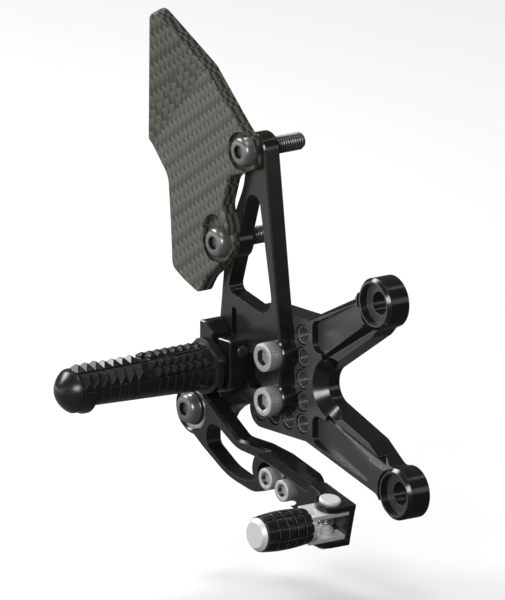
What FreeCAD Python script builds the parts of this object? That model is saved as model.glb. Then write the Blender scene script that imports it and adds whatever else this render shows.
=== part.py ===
import FreeCAD, Part
import math
import os

# Right-hand rear set: adapter plate, side plate, heel guard, fixed footpeg, brake lever, toe peg
# Millimetres. +X forwards, +Y inboard towards the frame, +Z up.
# Origin: the axis of the upper frame bore, on the face that seats on the motorbike's frame.

# Adapter plate that bolts to the frame
ADAPTER_T = 11.2
BOSS_R = 11.6
BOSS_CHAMFER = 1.4
FRAME_BORE_R = 5.1
COUNTERBORE_R = 9.4
COUNTERBORE_DEPTH = 3.8
LOWER_BOSS = (14.7, -82.8)
BLOCK_CORNER_R = 8.0
BLOCK_MARGIN = 7.5
ARM_FILLET = 5.0
ARM_EDGE_START = 0.9
ARM_EDGE_END = 2.4
OPEN_CENTRE = (-29.3, -44.0)
OPEN_R = 14.0
OPEN_UP_DEG = 30.5
OPEN_DOWN_DEG = -17.5
BEVEL_ROOT = 5.0
BEVEL_TIP = 2.0
POCKET_DEPTH = 3.6
POCKET_END_DEPTH = 0.5

# Grid of threaded holes, counted from its upper rear hole
GRID_FIRST = (-80.4, -23.8)
GRID_PITCH = 10.0
GRID_COLUMNS = 4
GRID_ROWS = 5
BOLT_COLUMN = 2
BOLT_ROWS = (1, 3)

# Threads and clearances
M8_R = 4.0
M6_R = 3.0
M5_R = 2.5
THREAD_GAP = 0.05
CLEARANCE_GAP = 0.25
RUN_GAP = 0.04
SIDE_GAP = 0.3

# Main plate
PLATE_T = 8.0
PLATE_EDGE = 0.7
LOBE_R = 7.0
WAIST_IN = 2.8
TOP_LOBE_R = 7.4
GUARD_LOBE_R = 8.0
LEG_LOBE_R = 8.8
LEG_RAISE = 0.6
SLOT_W = 3.6
SLOT_TOP_UP = 24.0
SLOT_BOTTOM_UP = 11.0

# Heel guard
GUARD_T = 7.0
GUARD_PAD_T = 3.5
GUARD_PAD_R = 8.8
GUARD_PAD_RUN = 4.0
GUARD_EDGE = 1.0
GUARD_BEND_DEG = 14.0
GUARD_UPPER = (-75.3, 56.0)
GUARD_LOWER = (-93.5, 11.4)
BUTTON_R = 7.0
BUTTON_H = 4.8
BUTTON_FLAT_R = 4.4
BUTTON_HEX = 5.0
GUARD_BOLT_L = 30.0

# Socket head screws
PLATE_HEAD_R = 6.5
PLATE_HEAD_H = 6.5
PLATE_HEAD_HEX = 6.0
PLATE_BOLT_L = 18.0
HEX_DEPTH = 3.6
HEAD_EDGE = 0.6

# Footpeg and its clamp block
PEG_X = -89.2
PEG_Z = -41.6
MOUNT_HALF_W = 10.5
MOUNT_LEFT_H = 10.8
MOUNT_RIGHT_H = 10.0
MOUNT_LEFT_TOP = 17.8
MOUNT_RIGHT_TOP = 11.9
MOUNT_BOTTOM = 12.6
MOUNT_SLIT = 2.6
CLAMP_PIN_UP = 6.4
CLAMP_PIN_OUT = 3.2
SPIGOT_R = 6.0
SPIGOT_GROOVE_R = 3.7
COLLAR_R = 12.4
COLLAR_T = 4.0
NECK_R = 9.6
NECK_L = 3.0
CORE_R_IN = 10.6
CORE_R_OUT = 8.2
CORE_L = 71.2
CORE_TAPER_L = 60.0
RING_AT = 34.6
RING_L = 2.2
GROOVE_W = 0.5
GROOVE_IN = 0.35
GROOVE_OUT = 0.7
FLANGE_AT = 5.6
FLANGE_R = 10.85
FLANGE_END_R = 9.5
STRIP_DEGS = (35.0, 90.0, 145.0)
STRIP_W = 7.6
SEAM_DEGS = (11.0, 62.5, 117.5, 169.0)
SEAM_W = 0.6
SEAM_DEEP = 0.6
STRIP_SINK = 0.9
COLLAR_FLAT_DEGS = (-5.0, 50.0, 130.0, 185.0)
TOOTH_TIP_R = 10.8
TOOTH_END_R = 11.3
TOOTH_IN_PITCH = 4.3
TOOTH_OUT_PITCH = 4.9
TOOTH_CREST = 0.5
TOOTH_ROOT = 1.2
TOOTH_TIP_SHARE = 0.3
TEETH_START = 1.2
TEETH_IN = 7
TEETH_OUT = 7
TEETH_ON_FLANGE = 3
PLUG_R = 9.9
PLUG_BACK_R = 8.8
PLUG_STUD_R = 4.0
PLUG_STUD_L = 10.0
PLUG_RIM_L = 1.3
PLUG_DOME_L = 6.5
PLUG_TIP_R = 3.0
PLUG_TIP_L = 0.6

# Brake lever, with the bearing at its pivot
PIVOT = (-103.4, -64.0)
LEVER_T = 8.0
LEVER_STAND_OFF = 4.4
LEVER_BOSS_R = 12.0
LEVER_EDGE = 1.2
BEARING_OUT_R = 9.5
BEARING_IN_R = 4.0
BEARING_W = 6.0
BEARING_OUTER_T = 1.8
BEARING_INNER_T = 1.9
BEARING_INSET = 0.9
BEARING_LIP_R = 7.2
BALL_R = 0.9
BALLS = 9
SEAL_T = 0.5
PIVOT_SHOULDER_R = 5.4
PIVOT_SHOULDER_L = 0.4
SPACER_R = 8.0

# Toe arm, measured along the arm and across it from its rear screw
TOE_SCREW = (-36.3, -81.0)
TOE_DEG = -14.7
TOE_PITCH = 12.0
TOE_ARM_T = 8.6
TOE_ARM_LOW = 5.5
TOE_ARM_HIGH = 8.0
TOE_ARM_BEVEL_IN = 2.3
TOE_ARM_BEVEL_DEEP = 4.0
TOE_HEAD_R = 5.0
TOE_HEAD_H = 6.0
TOE_HEAD_HEX = 5.0
TOE_WASHER_R = 5.4
TOE_WASHER_T = 1.2
TOE_SLOT_DEPTH = 4.7
TOE_SLOT_PLAY = 3.0
FORK_AT = 43.4
FORK_START = 24.6
FORK_END = 49.8
FORK_HALF_H = 9.9
FORK_EAR_T = 2.7
FORK_WEB_T = 2.6
FORK_REACH = 9.7
FORK_NOSE_R = 6.5

# Toe peg
PIN_R = 2.5
PIN_HEAD_R = 4.9
PIN_HEAD_T = 1.6
PIN_TAIL = 2.4
CLIP_T = 0.8
CLIP_R = 4.2
CLIP_GAP = 0.2
CLIP_GROOVE = 0.5
KNUCKLE_W = 11.6
KNUCKLE_EAR_T = 2.0
KNUCKLE_L = 12.6
SLEEVE_R = 8.8
SLEEVE_END_R = 7.9
SLEEVE_L = 24.8
SLEEVE_BORE_R = 4.0
SLEEVE_COLUMNS = 5
SLEEVE_ROWS = 10
SLEEVE_GROOVE_W = 1.0
SLEEVE_GROOVE_D = 0.8
CAP_R = 7.5
CAP_FRONT_R = 5.8
CAP_T = 2.4
SPRING_WIRE_R = 0.5
SPRING_R = 3.4
SPRING_TURNS = 4
SPRING_LEG = 4.5

# Levels along Y that the sizes above give
PLATE_BACK = -ADAPTER_T
PLATE_FRONT = PLATE_BACK - PLATE_T
GUARD_SEAT = PLATE_FRONT - GUARD_PAD_T
GUARD_FRONT = PLATE_FRONT - GUARD_T
LEG_FRONT = PLATE_FRONT - LEG_RAISE
LEVER_BACK = PLATE_FRONT - LEVER_STAND_OFF
LEVER_FRONT = LEVER_BACK - LEVER_T
BEARING_FRONT = LEVER_FRONT + BEARING_INSET
BEARING_BACK = BEARING_FRONT + BEARING_W
ARM_FRONT = LEVER_FRONT - TOE_ARM_T
TOE_SEAT = ARM_FRONT + TOE_SLOT_DEPTH
PEG_FACE = PLATE_FRONT - MOUNT_LEFT_H
COLLAR_BACK = PEG_FACE - NECK_L
COLLAR_FRONT = COLLAR_BACK - COLLAR_T
CORE_END = COLLAR_FRONT - CORE_L
HINGE_Y = LEVER_FRONT - FORK_REACH
UPPER_BORE = (0.0, 0.0)
PEG_AXIS = (PEG_X, PEG_Z)


def grid_hole(column, row):
    """Centre of one hole of the threaded grid."""
    return (GRID_FIRST[0] + column * GRID_PITCH, GRID_FIRST[1] - row * GRID_PITCH)


BOLT_UPPER = grid_hole(BOLT_COLUMN, BOLT_ROWS[0])
BOLT_LOWER = grid_hole(BOLT_COLUMN, BOLT_ROWS[1])


def vec(x, y, z):
    """A point or direction."""
    return FreeCAD.Vector(x, y, z)


def beside(anchor, dx, dz):
    """A place given from an anchor point in the XZ plane."""
    return (anchor[0] + dx, anchor[1] + dz)


def corner(place, radius):
    """An outline corner: its place and the radius that rounds it."""
    return (place[0], place[1], radius)


def rounded_wire(corners, y):
    """Closed wire at one level, straight between corners that arcs round off."""
    count = len(corners)
    arcs = []
    for index, (cx, cz, radius) in enumerate(corners):
        here = vec(cx, y, cz)
        px, pz, _ = corners[index - 1]
        nx, nz, _ = corners[(index + 1) % count]
        back = (vec(px, y, pz) - here).normalize()
        ahead = (vec(nx, y, nz) - here).normalize()
        half = back.getAngle(ahead) / 2.0
        if radius <= 0.0:
            arcs.append((here, None, here))
            continue
        reach = radius / math.tan(half)
        middle = (back + ahead).normalize()
        centre = here + middle * (radius / math.sin(half))
        arcs.append((here + back * reach, centre - middle * radius, here + ahead * reach))
    edges = []
    for index in range(count):
        start, middle, end = arcs[index]
        if middle is not None:
            edges.append(Part.Arc(start, middle, end).toShape())
        following = arcs[(index + 1) % count][0]
        if (following - end).Length > 1e-5:
            edges.append(Part.LineSegment(end, following).toShape())
    return Part.Wire(edges)


def face_at(corners, y):
    """Flat face inside a rounded outline."""
    return Part.Face(rounded_wire(corners, y))


def slab(corners, y_front, y_back):
    """Solid between two levels with a rounded outline."""
    return face_at(corners, y_front).extrude(vec(0, y_back - y_front, 0))


def rod(place, y_start, y_end, radius):
    """Cylinder along Y between two levels."""
    low = min(y_start, y_end)
    return Part.makeCylinder(radius, abs(y_end - y_start), vec(place[0], low, place[1]), vec(0, 1, 0))


def frustum(place, y_start, y_end, r_start, r_end):
    """Cone frustum along +Y from y_start to y_end."""
    return Part.makeCone(r_start, r_end, y_end - y_start, vec(place[0], y_start, place[1]), vec(0, 1, 0))


def turned(place, profile):
    """Turned part about an axis along Y, from a closed list of (y, radius) points."""
    points = [vec(place[0] + radius, y, place[1]) for y, radius in profile]
    points.append(points[0])
    face = Part.Face(Part.makePolygon(points))
    return face.revolve(vec(place[0], 0, place[1]), vec(0, 1, 0), 360)


def hex_prism(place, y_start, y_end, across_flats):
    """Hexagonal prism along Y, for a socket."""
    radius = across_flats / math.sqrt(3.0)
    ring = [math.radians(60 * step + 30) for step in range(6)]
    corners = [(place[0] + radius * math.cos(a), place[1] + radius * math.sin(a), 0.0) for a in ring]
    return slab(corners, y_start, y_end)


def edges_at(solid, y):
    """Edges that lie in the plane y."""
    return [e for e in solid.Edges if abs(e.BoundBox.YMin - y) < 1e-4 and abs(e.BoundBox.YMax - y) < 1e-4]


def softened(solid, y, size):
    """Solid with the edges in the plane y chamfered."""
    return solid.makeChamfer(size, edges_at(solid, y))


def one_solid(shape):
    """The single solid of a boolean result."""
    return shape.removeSplitter().Solids[0]


def closed_corners(face, radius):
    """Face whose inner corners are rounded: grown and shrunk by the same radius."""
    grown = face.makeOffset2D(radius, fill=False)
    back = Part.Wire(grown.Edges).makeOffset2D(-radius)
    return Part.Face(Part.Wire(back.Edges))


def disc(place, y, radius):
    """Flat round face at one level."""
    circle = Part.Circle(vec(place[0], y, place[1]), vec(0, 1, 0), radius)
    return Part.Face(Part.Wire(circle.toShape()))


def wedge_along(start, end, width_start, width_end, inward, y_front, over=1.0):
    """Cutter for a bevel that changes width along a straight front edge."""
    triangles = []
    for (x, z), width in ((start, width_start), (end, width_end)):
        nx, nz = inward
        out = vec(x - nx * over, y_front - over, z - nz * over)
        along_face = vec(x + nx * (width + over), y_front - over, z + nz * (width + over))
        down_wall = vec(x - nx * over, y_front + width + over, z - nz * over)
        triangles.append(Part.makePolygon([out, along_face, down_wall, out]))
    return Part.makeLoft(triangles, True, True)


def unit(angle_deg):
    """Unit direction in the XZ plane."""
    angle = math.radians(angle_deg)
    return (math.cos(angle), math.sin(angle))


def shifted(place, direction, distance):
    """A place moved along a direction in the XZ plane."""
    return (place[0] + direction[0] * distance, place[1] + direction[1] * distance)


def frame_opening():
    """Walls and bevel of the V between the adapter's two arms."""
    up = unit(OPEN_UP_DEG)
    down = unit(OPEN_DOWN_DEG)
    up_out = (-up[1], up[0])
    down_out = (down[1], -down[0])
    reach = LOWER_BOSS[0] - OPEN_CENTRE[0] + 3 * BOSS_R
    wall_r = OPEN_R - BEVEL_ROOT
    up_start = shifted(OPEN_CENTRE, up_out, OPEN_R)
    down_start = shifted(OPEN_CENTRE, down_out, OPEN_R)
    up_end = shifted(up_start, up, reach)
    down_end = shifted(down_start, down, reach)
    wall_up_start = shifted(OPEN_CENTRE, up_out, wall_r)
    wall_down_start = shifted(OPEN_CENTRE, down_out, wall_r)
    wall_up_end = shifted(up_end, up_out, -BEVEL_TIP)
    wall_down_end = shifted(down_end, down_out, -BEVEL_TIP)
    front = -ADAPTER_T - 1.0
    points = [vec(p[0], front, p[1]) for p in (wall_up_end, wall_up_start, wall_down_start, wall_down_end)]
    root = vec(OPEN_CENTRE[0] - wall_r, front, OPEN_CENTRE[1])
    walls = Part.Wire([
        Part.LineSegment(points[0], points[1]).toShape(),
        Part.Arc(points[1], root, points[2]).toShape(),
        Part.LineSegment(points[2], points[3]).toShape(),
        Part.LineSegment(points[3], points[0]).toShape(),
    ])
    cutter = Part.Face(walls).extrude(vec(0, ADAPTER_T + 2.0, 0))
    cone = frustum(OPEN_CENTRE, -ADAPTER_T, -ADAPTER_T + BEVEL_ROOT, OPEN_R, wall_r)
    upper = wedge_along(up_start, up_end, BEVEL_ROOT, BEVEL_TIP, up_out, -ADAPTER_T)
    lower = wedge_along(down_start, down_end, BEVEL_ROOT, BEVEL_TIP, down_out, -ADAPTER_T)
    return cutter, cone, upper, lower


def frame_adapter_plate():
    """Machined adapter: threaded block, two arms and two frame bosses."""
    left = GRID_FIRST[0] - BLOCK_MARGIN
    right = GRID_FIRST[0] + (GRID_COLUMNS - 1) * GRID_PITCH + BLOCK_MARGIN
    top = GRID_FIRST[1] + BLOCK_MARGIN
    bottom = GRID_FIRST[1] - (GRID_ROWS - 1) * GRID_PITCH - BLOCK_MARGIN
    block = slab([
        (left, top, BLOCK_CORNER_R),
        (right, top, 0.0),
        (right, bottom, 0.0),
        (left, bottom, BLOCK_CORNER_R),
    ], -ADAPTER_T, 0.0)
    arm_top = beside(UPPER_BORE, -12.9, 0.4)
    shoulder = (right - 4.2, top)
    upper_arm = slab([
        corner(shoulder, 0.0),
        corner(arm_top, 0.0),
        corner(UPPER_BORE, 0.0),
        corner(beside(UPPER_BORE, 6.0, -8.0), 0.0),
        corner(OPEN_CENTRE, 0.0),
        corner((right - 4.2, OPEN_CENTRE[1]), 0.0),
    ], -ADAPTER_T, 0.0)
    lower_arm = slab([
        corner((right - 5.0, OPEN_CENTRE[1]), 0.0),
        corner(OPEN_CENTRE, 0.0),
        corner(beside(LOWER_BOSS, -3.0, 9.0), 0.0),
        corner(LOWER_BOSS, 0.0),
        corner(beside(LOWER_BOSS, -10.0, -2.8), 0.0),
        corner((right - 5.0, bottom), 0.0),
    ], -ADAPTER_T, 0.0)
    walls, root_bevel, upper_bevel, lower_bevel = frame_opening()
    body = block.fuse([upper_arm, lower_arm]).cut(walls)
    body = body.fuse([rod(place, 0.0, -ADAPTER_T, BOSS_R) for place in (UPPER_BORE, LOWER_BOSS)])
    front = next(f for f in body.removeSplitter().Faces if abs(f.BoundBox.YMax + ADAPTER_T) < 1e-4)
    body = closed_corners(front, ARM_FILLET).extrude(vec(0, ADAPTER_T, 0))
    edge_dir = vec(arm_top[0] - shoulder[0], 0, arm_top[1] - shoulder[1]).normalize()
    inward = (edge_dir.z, -edge_dir.x)
    arm_edge = wedge_along(shoulder, arm_top, ARM_EDGE_START, ARM_EDGE_END, inward, -ADAPTER_T)
    body = body.cut([root_bevel, upper_bevel, lower_bevel, arm_edge])
    for place in (UPPER_BORE, LOWER_BOSS):
        boss = turned(place, [
            (0.0, 0.0),
            (0.0, BOSS_R),
            (-ADAPTER_T + BOSS_CHAMFER, BOSS_R),
            (-ADAPTER_T, BOSS_R - BOSS_CHAMFER),
            (-ADAPTER_T, 0.0),
        ])
        body = body.cut(rod(place, 0.0, -ADAPTER_T, BOSS_R)).fuse(boss)
    for place in (UPPER_BORE, LOWER_BOSS):
        body = body.cut(rod(place, 0.0, -ADAPTER_T, FRAME_BORE_R))
        body = body.cut(rod(place, -ADAPTER_T, -ADAPTER_T + COUNTERBORE_DEPTH, COUNTERBORE_R))
    for corners in pocket_outlines(right):
        body = body.cut(sloped_pocket(corners, right - 0.5))
    for column in range(GRID_COLUMNS):
        for row in range(GRID_ROWS):
            place = grid_hole(column, row)
            body = body.cut(rod(place, 0.0, -ADAPTER_T, M8_R + THREAD_GAP))
            mouth = frustum(place, -ADAPTER_T, -ADAPTER_T + 0.6, M8_R + 0.7, M8_R)
            body = body.cut(mouth)
    return one_solid(body)


def pocket_outlines(right):
    """Outlines of the two milled pockets, one in each arm."""
    left = right - 0.5
    upper = [
        (left, -16.2, 3.5),
        (-38.5, -14.9, 3.0),
        (-14.4, -3.1, 1.6),
        (-9.6, -3.6, 1.6),
        (-8.0, -11.9, 1.2),
        (-36.2, -30.2, 3.0),
        (left, -29.6, 4.5),
    ]
    lower = [
        (left, -58.2, 3.5),
        (-36.4, -58.7, 4.0),
        corner(beside(LOWER_BOSS, -17.8, 13.6), 3.0),
        corner(beside(LOWER_BOSS, -16.3, 5.4), 1.2),
        corner(beside(LOWER_BOSS, -19.5, 2.2), 1.2),
        (-38.6, -72.1, 2.5),
        (left, -70.6, 3.5),
    ]
    return upper, lower


def sloped_pocket(corners, left):
    """Pocket cutter whose floor rises from the block end to the boss end."""
    reach = max(c[0] for c in corners) - left
    front = -ADAPTER_T
    prism = slab(corners, front - 1.0, front + POCKET_DEPTH + 1.0)
    side = [
        vec(left - 1.0, front - 2.0, 10.0),
        vec(left + reach + 1.0, front - 2.0, 10.0),
        vec(left + reach + 1.0, front + POCKET_END_DEPTH, 10.0),
        vec(left - 1.0, front + POCKET_DEPTH, 10.0),
    ]
    side.append(side[0])
    wedge = Part.Face(Part.makePolygon(side)).extrude(vec(0, 0, -110.0))
    return prism.common(wedge)


def plate_outline():
    """Corners of the main plate's body, without the lobes round its screws."""
    waist = BOLT_UPPER[0] + LOBE_R - WAIST_IN
    return [
        corner(beside(GUARD_UPPER, -TOP_LOBE_R, TOP_LOBE_R), TOP_LOBE_R - 0.1),
        corner(beside(GUARD_UPPER, TOP_LOBE_R, TOP_LOBE_R), TOP_LOBE_R - 0.1),
        corner((-59.3, -3.7), 40.0),
        corner((waist, BOLT_UPPER[1] + 7.0), 6.0),
        corner((waist, BOLT_LOWER[1] - LOBE_R + 0.4), 5.0),
        corner((-78.0, BOLT_LOWER[1] - LOBE_R + 1.6), 0.0),
        corner(beside(PIVOT, 17.4, 2.6), 0.0),
        corner(beside(PIVOT, 11.9, -0.2), 0.0),
        corner(beside(PIVOT, 6.8, -4.6), 0.0),
        corner(PIVOT, 0.0),
        corner(beside(PIVOT, -LEG_LOBE_R + 0.5, 0.0), 0.0),
        corner((-100.3, -30.0), 20.0),
        corner((-99.3, -23.4), 20.0),
        corner((-96.8, -2.5), 8.0),
        corner(beside(GUARD_LOWER, -3.0, -2.0), 0.0),
        corner(beside(GUARD_LOWER, 0.5, 5.0), 0.0),
        corner((-81.4, 41.0), 25.0),
    ]


def plate_window():
    """Corners of the triangular opening."""
    return [
        (-73.9, 50.6, 5.0),
        (-60.3, -19.0, 7.4),
        (-93.6, -10.8, 3.4),
    ]


def relief_window():
    """Corners of the small opening under the clamp block's front corner."""
    inner = PEG_X + MOUNT_HALF_W
    return [
        (inner - 0.8, -36.2, 1.0),
        (inner + 4.9, -35.8, 1.6),
        (inner + 5.2, -46.2, 2.0),
        (inner + 10.4, -49.8, 1.0),
        (inner + 7.0, -51.2, 1.0),
        (inner + 0.6, -51.8, 1.2),
        (inner - 0.8, -49.0, 1.0),
    ]


def mount_screws():
    """Places of the three countersunk screws that hold the clamp block."""
    return (
        (PEG_X - 5.6, PEG_Z + 12.6),
        (PEG_X - 6.0, PEG_Z - 6.8),
        (PEG_X + 4.6, PEG_Z - 7.4),
    )


def main_plate():
    """Side plate with lobes at its screws, a triangular opening and a leg for the lever."""
    face = face_at(plate_outline(), PLATE_FRONT)
    lobes = (
        (GUARD_UPPER, TOP_LOBE_R),
        (GUARD_LOWER, GUARD_LOBE_R),
        (BOLT_UPPER, LOBE_R),
        (BOLT_LOWER, LOBE_R),
        (PIVOT, LEG_LOBE_R),
    )
    face = face.fuse([disc(place, PLATE_FRONT, radius) for place, radius in lobes]).removeSplitter()
    outline = closed_corners(face.Faces[0], 4.0)
    plate = outline.extrude(vec(0, PLATE_T, 0))
    plate = softened(plate, PLATE_FRONT, PLATE_EDGE)
    window = slab(plate_window(), PLATE_FRONT - 1.0, PLATE_BACK + 1.0)
    plate = plate.cut(window.cut(rod(GUARD_LOWER, PLATE_FRONT - 2.0, PLATE_BACK + 2.0, GUARD_LOBE_R + 0.5)))
    plate = plate.cut(slab(relief_window(), PLATE_FRONT - 1.0, PLATE_BACK + 1.0))
    slot = [
        (PEG_X - SLOT_W / 2 + 0.4, PEG_Z + SLOT_TOP_UP, SLOT_W / 2 - 0.01),
        (PEG_X + SLOT_W / 2 + 0.4, PEG_Z + SLOT_TOP_UP, SLOT_W / 2 - 0.01),
        (PEG_X + SLOT_W / 2 + 0.4, PEG_Z + SLOT_BOTTOM_UP, SLOT_W / 2 - 0.01),
        (PEG_X - SLOT_W / 2 + 0.4, PEG_Z + SLOT_BOTTOM_UP, SLOT_W / 2 - 0.01),
    ]
    plate = plate.cut(slab(slot, PLATE_FRONT - 1.0, PLATE_BACK + 1.0))
    leg = slab([
        corner(beside(PIVOT, -LEG_LOBE_R + 1.5, 12.0), 2.0),
        corner(beside(PIVOT, 12.7, 9.3), 2.0),
        corner(beside(PIVOT, 27.6, 5.4), 0.0),
        corner(beside(PIVOT, 40.0, -30.0), 0.0),
        corner(beside(PIVOT, -20.0, -30.0), 0.0),
    ], LEG_FRONT, PLATE_FRONT)
    inner = outline.Wires[0].makeOffset2D(-PLATE_EDGE)
    trimmed = Part.Face(Part.Wire(inner.Edges)).extrude(vec(0, -LEG_RAISE * 2, 0))
    plate = plate.fuse(leg.common(trimmed))
    for place in (GUARD_UPPER, GUARD_LOWER, PIVOT):
        plate = plate.cut(rod(place, LEG_FRONT - 1.0, PLATE_BACK + 1.0, M8_R + THREAD_GAP))
    for place in (BOLT_UPPER, BOLT_LOWER):
        plate = plate.cut(rod(place, PLATE_FRONT - 1.0, PLATE_BACK + 1.0, M8_R + CLEARANCE_GAP))
    for place in mount_screws():
        plate = plate.cut(rod(place, PLATE_FRONT - 1.0, PLATE_BACK + 1.0, M5_R + CLEARANCE_GAP))
        sink = frustum(place, PLATE_BACK - M5_R - 0.3, PLATE_BACK, M5_R, 2 * M5_R + 0.3)
        plate = plate.cut(sink)
    return one_solid(plate)


def socket_screw(place, seat, head_r, head_h, across_flats, shank_r, length):
    """Socket head screw: its head stands on the seat and faces outwards."""
    screw = turned(place, [
        (seat - head_h, 0.0),
        (seat - head_h, head_r - HEAD_EDGE),
        (seat - head_h + HEAD_EDGE, head_r),
        (seat, head_r),
        (seat, shank_r),
        (seat + length - 0.8, shank_r),
        (seat + length, shank_r - 0.8),
        (seat + length, 0.0),
    ])
    screw = screw.cut(hex_prism(place, seat - head_h - 1.0, seat - head_h + HEX_DEPTH, across_flats))
    return one_solid(screw)


def button_screw(place, seat, shank_r, length, shoulder_r=0.0, shoulder_l=0.0):
    """Button head screw with a domed head, and a shoulder if it has one."""
    crown = seat - shoulder_l
    top = crown - BUTTON_H
    start = vec(place[0] + BUTTON_FLAT_R, top, place[1])
    middle = vec(place[0] + BUTTON_FLAT_R + (BUTTON_R - BUTTON_FLAT_R) * 0.66, top + BUTTON_H * 0.3, place[1])
    end = vec(place[0] + BUTTON_R, crown, place[1])
    points = [end]
    if shoulder_l > 0.0:
        points.append(vec(place[0] + shoulder_r, crown, place[1]))
        points.append(vec(place[0] + shoulder_r, seat, place[1]))
    points.append(vec(place[0] + shank_r, seat, place[1]))
    points.append(vec(place[0] + shank_r, seat + length - 0.8, place[1]))
    points.append(vec(place[0] + shank_r - 0.8, seat + length, place[1]))
    points.append(vec(place[0], seat + length, place[1]))
    points.append(vec(place[0], top, place[1]))
    points.append(start)
    edges = [Part.Arc(start, middle, end).toShape()]
    for first, second in zip(points, points[1:]):
        edges.append(Part.LineSegment(first, second).toShape())
    face = Part.Face(Part.Wire(edges))
    screw = face.revolve(vec(place[0], 0, place[1]), vec(0, 1, 0), 360)
    screw = screw.cut(hex_prism(place, top - 1.0, top + BUTTON_H * 0.6, BUTTON_HEX))
    return one_solid(screw)


def guard_outline():
    """Corners of the heel guard, flat, before its upper corner is bent."""
    return [
        (-130.7, 115.2, 4.0),
        (-104.0, 91.8, 60.0),
        (-78.6, 68.2, 6.0),
        corner(beside(GUARD_UPPER, 4.4, 5.6), 5.0),
        corner(beside(GUARD_UPPER, 6.8, -7.6), 6.0),
        (-83.6, 43.2, 6.0),
        (-88.6, 28.4, 8.0),
        corner(beside(GUARD_LOWER, 8.9, 9.0), 6.0),
        corner(beside(GUARD_LOWER, 8.4, -2.4), 6.0),
        corner(beside(GUARD_LOWER, 0.6, -11.6), 10.0),
        (-100.2, -5.8, 14.0),
        (-105.4, -13.9, 3.0),
        (-116.4, -9.6, 8.0),
        (-124.4, -5.4, 5.0),
        (-125.6, 14.0, 40.0),
        (-127.4, 34.6, 10.0),
        (-141.7, 50.0, 3.0),
    ]


def heel_guard():
    """Carbon guard, stepped down at its screws, with its upper rear corner bent outwards."""
    flat = slab(guard_outline(), GUARD_FRONT, PLATE_FRONT)
    flat = flat.makeFillet(GUARD_EDGE, edges_at(flat, GUARD_FRONT))
    crease_a = vec(-107.7, PLATE_FRONT, 81.0)
    crease_b = vec(-135.6, PLATE_FRONT, 50.2)
    along = (crease_a - crease_b).normalize()
    side = vec(-along.z, 0, along.x)
    far = 120.0
    corners = [
        crease_b - along * far,
        crease_a + along * far,
        crease_a + along * far + side * far,
        crease_b - along * far + side * far,
    ]
    region = Part.Face(Part.makePolygon(corners + [corners[0]])).extrude(vec(0, -2 * GUARD_T, 0))
    region.translate(vec(0, GUARD_T / 2, 0))
    stays = flat.cut(region)
    flap = flat.common(region)
    flap.rotate(crease_a, along, GUARD_BEND_DEG)
    guard = stays.fuse(flap)
    guard = guard.cut(rod(GUARD_UPPER, GUARD_FRONT - 1.0, GUARD_SEAT, GUARD_PAD_R))
    r = GUARD_PAD_R
    lower_pad = [
        corner(beside(GUARD_LOWER, -r, r + GUARD_PAD_RUN), r - 0.01),
        corner(beside(GUARD_LOWER, r, r + GUARD_PAD_RUN), r - 0.01),
        corner(beside(GUARD_LOWER, r, -r), r - 0.01),
        corner(beside(GUARD_LOWER, -r, -r), r - 0.01),
    ]
    guard = guard.cut(slab(lower_pad, GUARD_FRONT - 1.0, GUARD_SEAT))
    for place in (GUARD_UPPER, GUARD_LOWER):
        guard = guard.cut(rod(place, GUARD_FRONT - 1.0, PLATE_FRONT + 1.0, M8_R + CLEARANCE_GAP))
    return one_solid(guard)


def peg_mount():
    """Split clamp block: a tall rear jaw, a lower front jaw and the slit between them."""
    left = PEG_X - MOUNT_HALF_W
    right = PEG_X + MOUNT_HALF_W
    split = PEG_X
    bottom = PEG_Z - MOUNT_BOTTOM
    tall = PEG_Z + MOUNT_LEFT_TOP
    low = PEG_Z + MOUNT_RIGHT_TOP
    rear_jaw = slab([
        (left, tall, 0.8),
        (left + 4.0, tall, 0.8),
        (split - MOUNT_SLIT / 2, tall - 3.4, 0.8),
        (split - MOUNT_SLIT / 2, bottom, 0.0),
        (left, bottom, 7.0),
    ], PLATE_FRONT - MOUNT_LEFT_H, PLATE_FRONT)
    front_jaw = slab([
        (split + MOUNT_SLIT / 2, low, 0.8),
        (right, low, 1.0),
        (right, bottom, 7.0),
        (split + MOUNT_SLIT / 2, bottom, 0.0),
    ], PLATE_FRONT - MOUNT_RIGHT_H, PLATE_FRONT)
    bridge = slab([
        (split - MOUNT_SLIT, PEG_Z - SPIGOT_R - 1.0, 0.0),
        (split + MOUNT_SLIT, PEG_Z - SPIGOT_R - 1.0, 0.0),
        (split + MOUNT_SLIT, bottom, 0.0),
        (split - MOUNT_SLIT, bottom, 0.0),
    ], PLATE_FRONT - MOUNT_RIGHT_H, PLATE_FRONT)
    rear_jaw = softened(rear_jaw, PLATE_FRONT - MOUNT_LEFT_H, 0.5)
    front_jaw = softened(front_jaw, PLATE_FRONT - MOUNT_RIGHT_H, 0.5)
    block = rear_jaw.fuse([front_jaw, bridge])
    block = block.cut(rod(PEG_AXIS, PLATE_FRONT - 2 * MOUNT_LEFT_H, PLATE_FRONT, SPIGOT_R + RUN_GAP))
    pin_y = PLATE_FRONT - CLAMP_PIN_OUT
    pin_z = PEG_Z + CLAMP_PIN_UP
    bore = Part.makeCylinder(M5_R + THREAD_GAP, 3 * MOUNT_HALF_W, vec(left - 5.0, pin_y, pin_z), vec(1, 0, 0))
    block = block.cut(bore)
    for place in mount_screws():
        block = block.cut(rod(place, PLATE_FRONT, PLATE_FRONT - 7.0, M5_R + THREAD_GAP))
    return one_solid(block)


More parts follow.
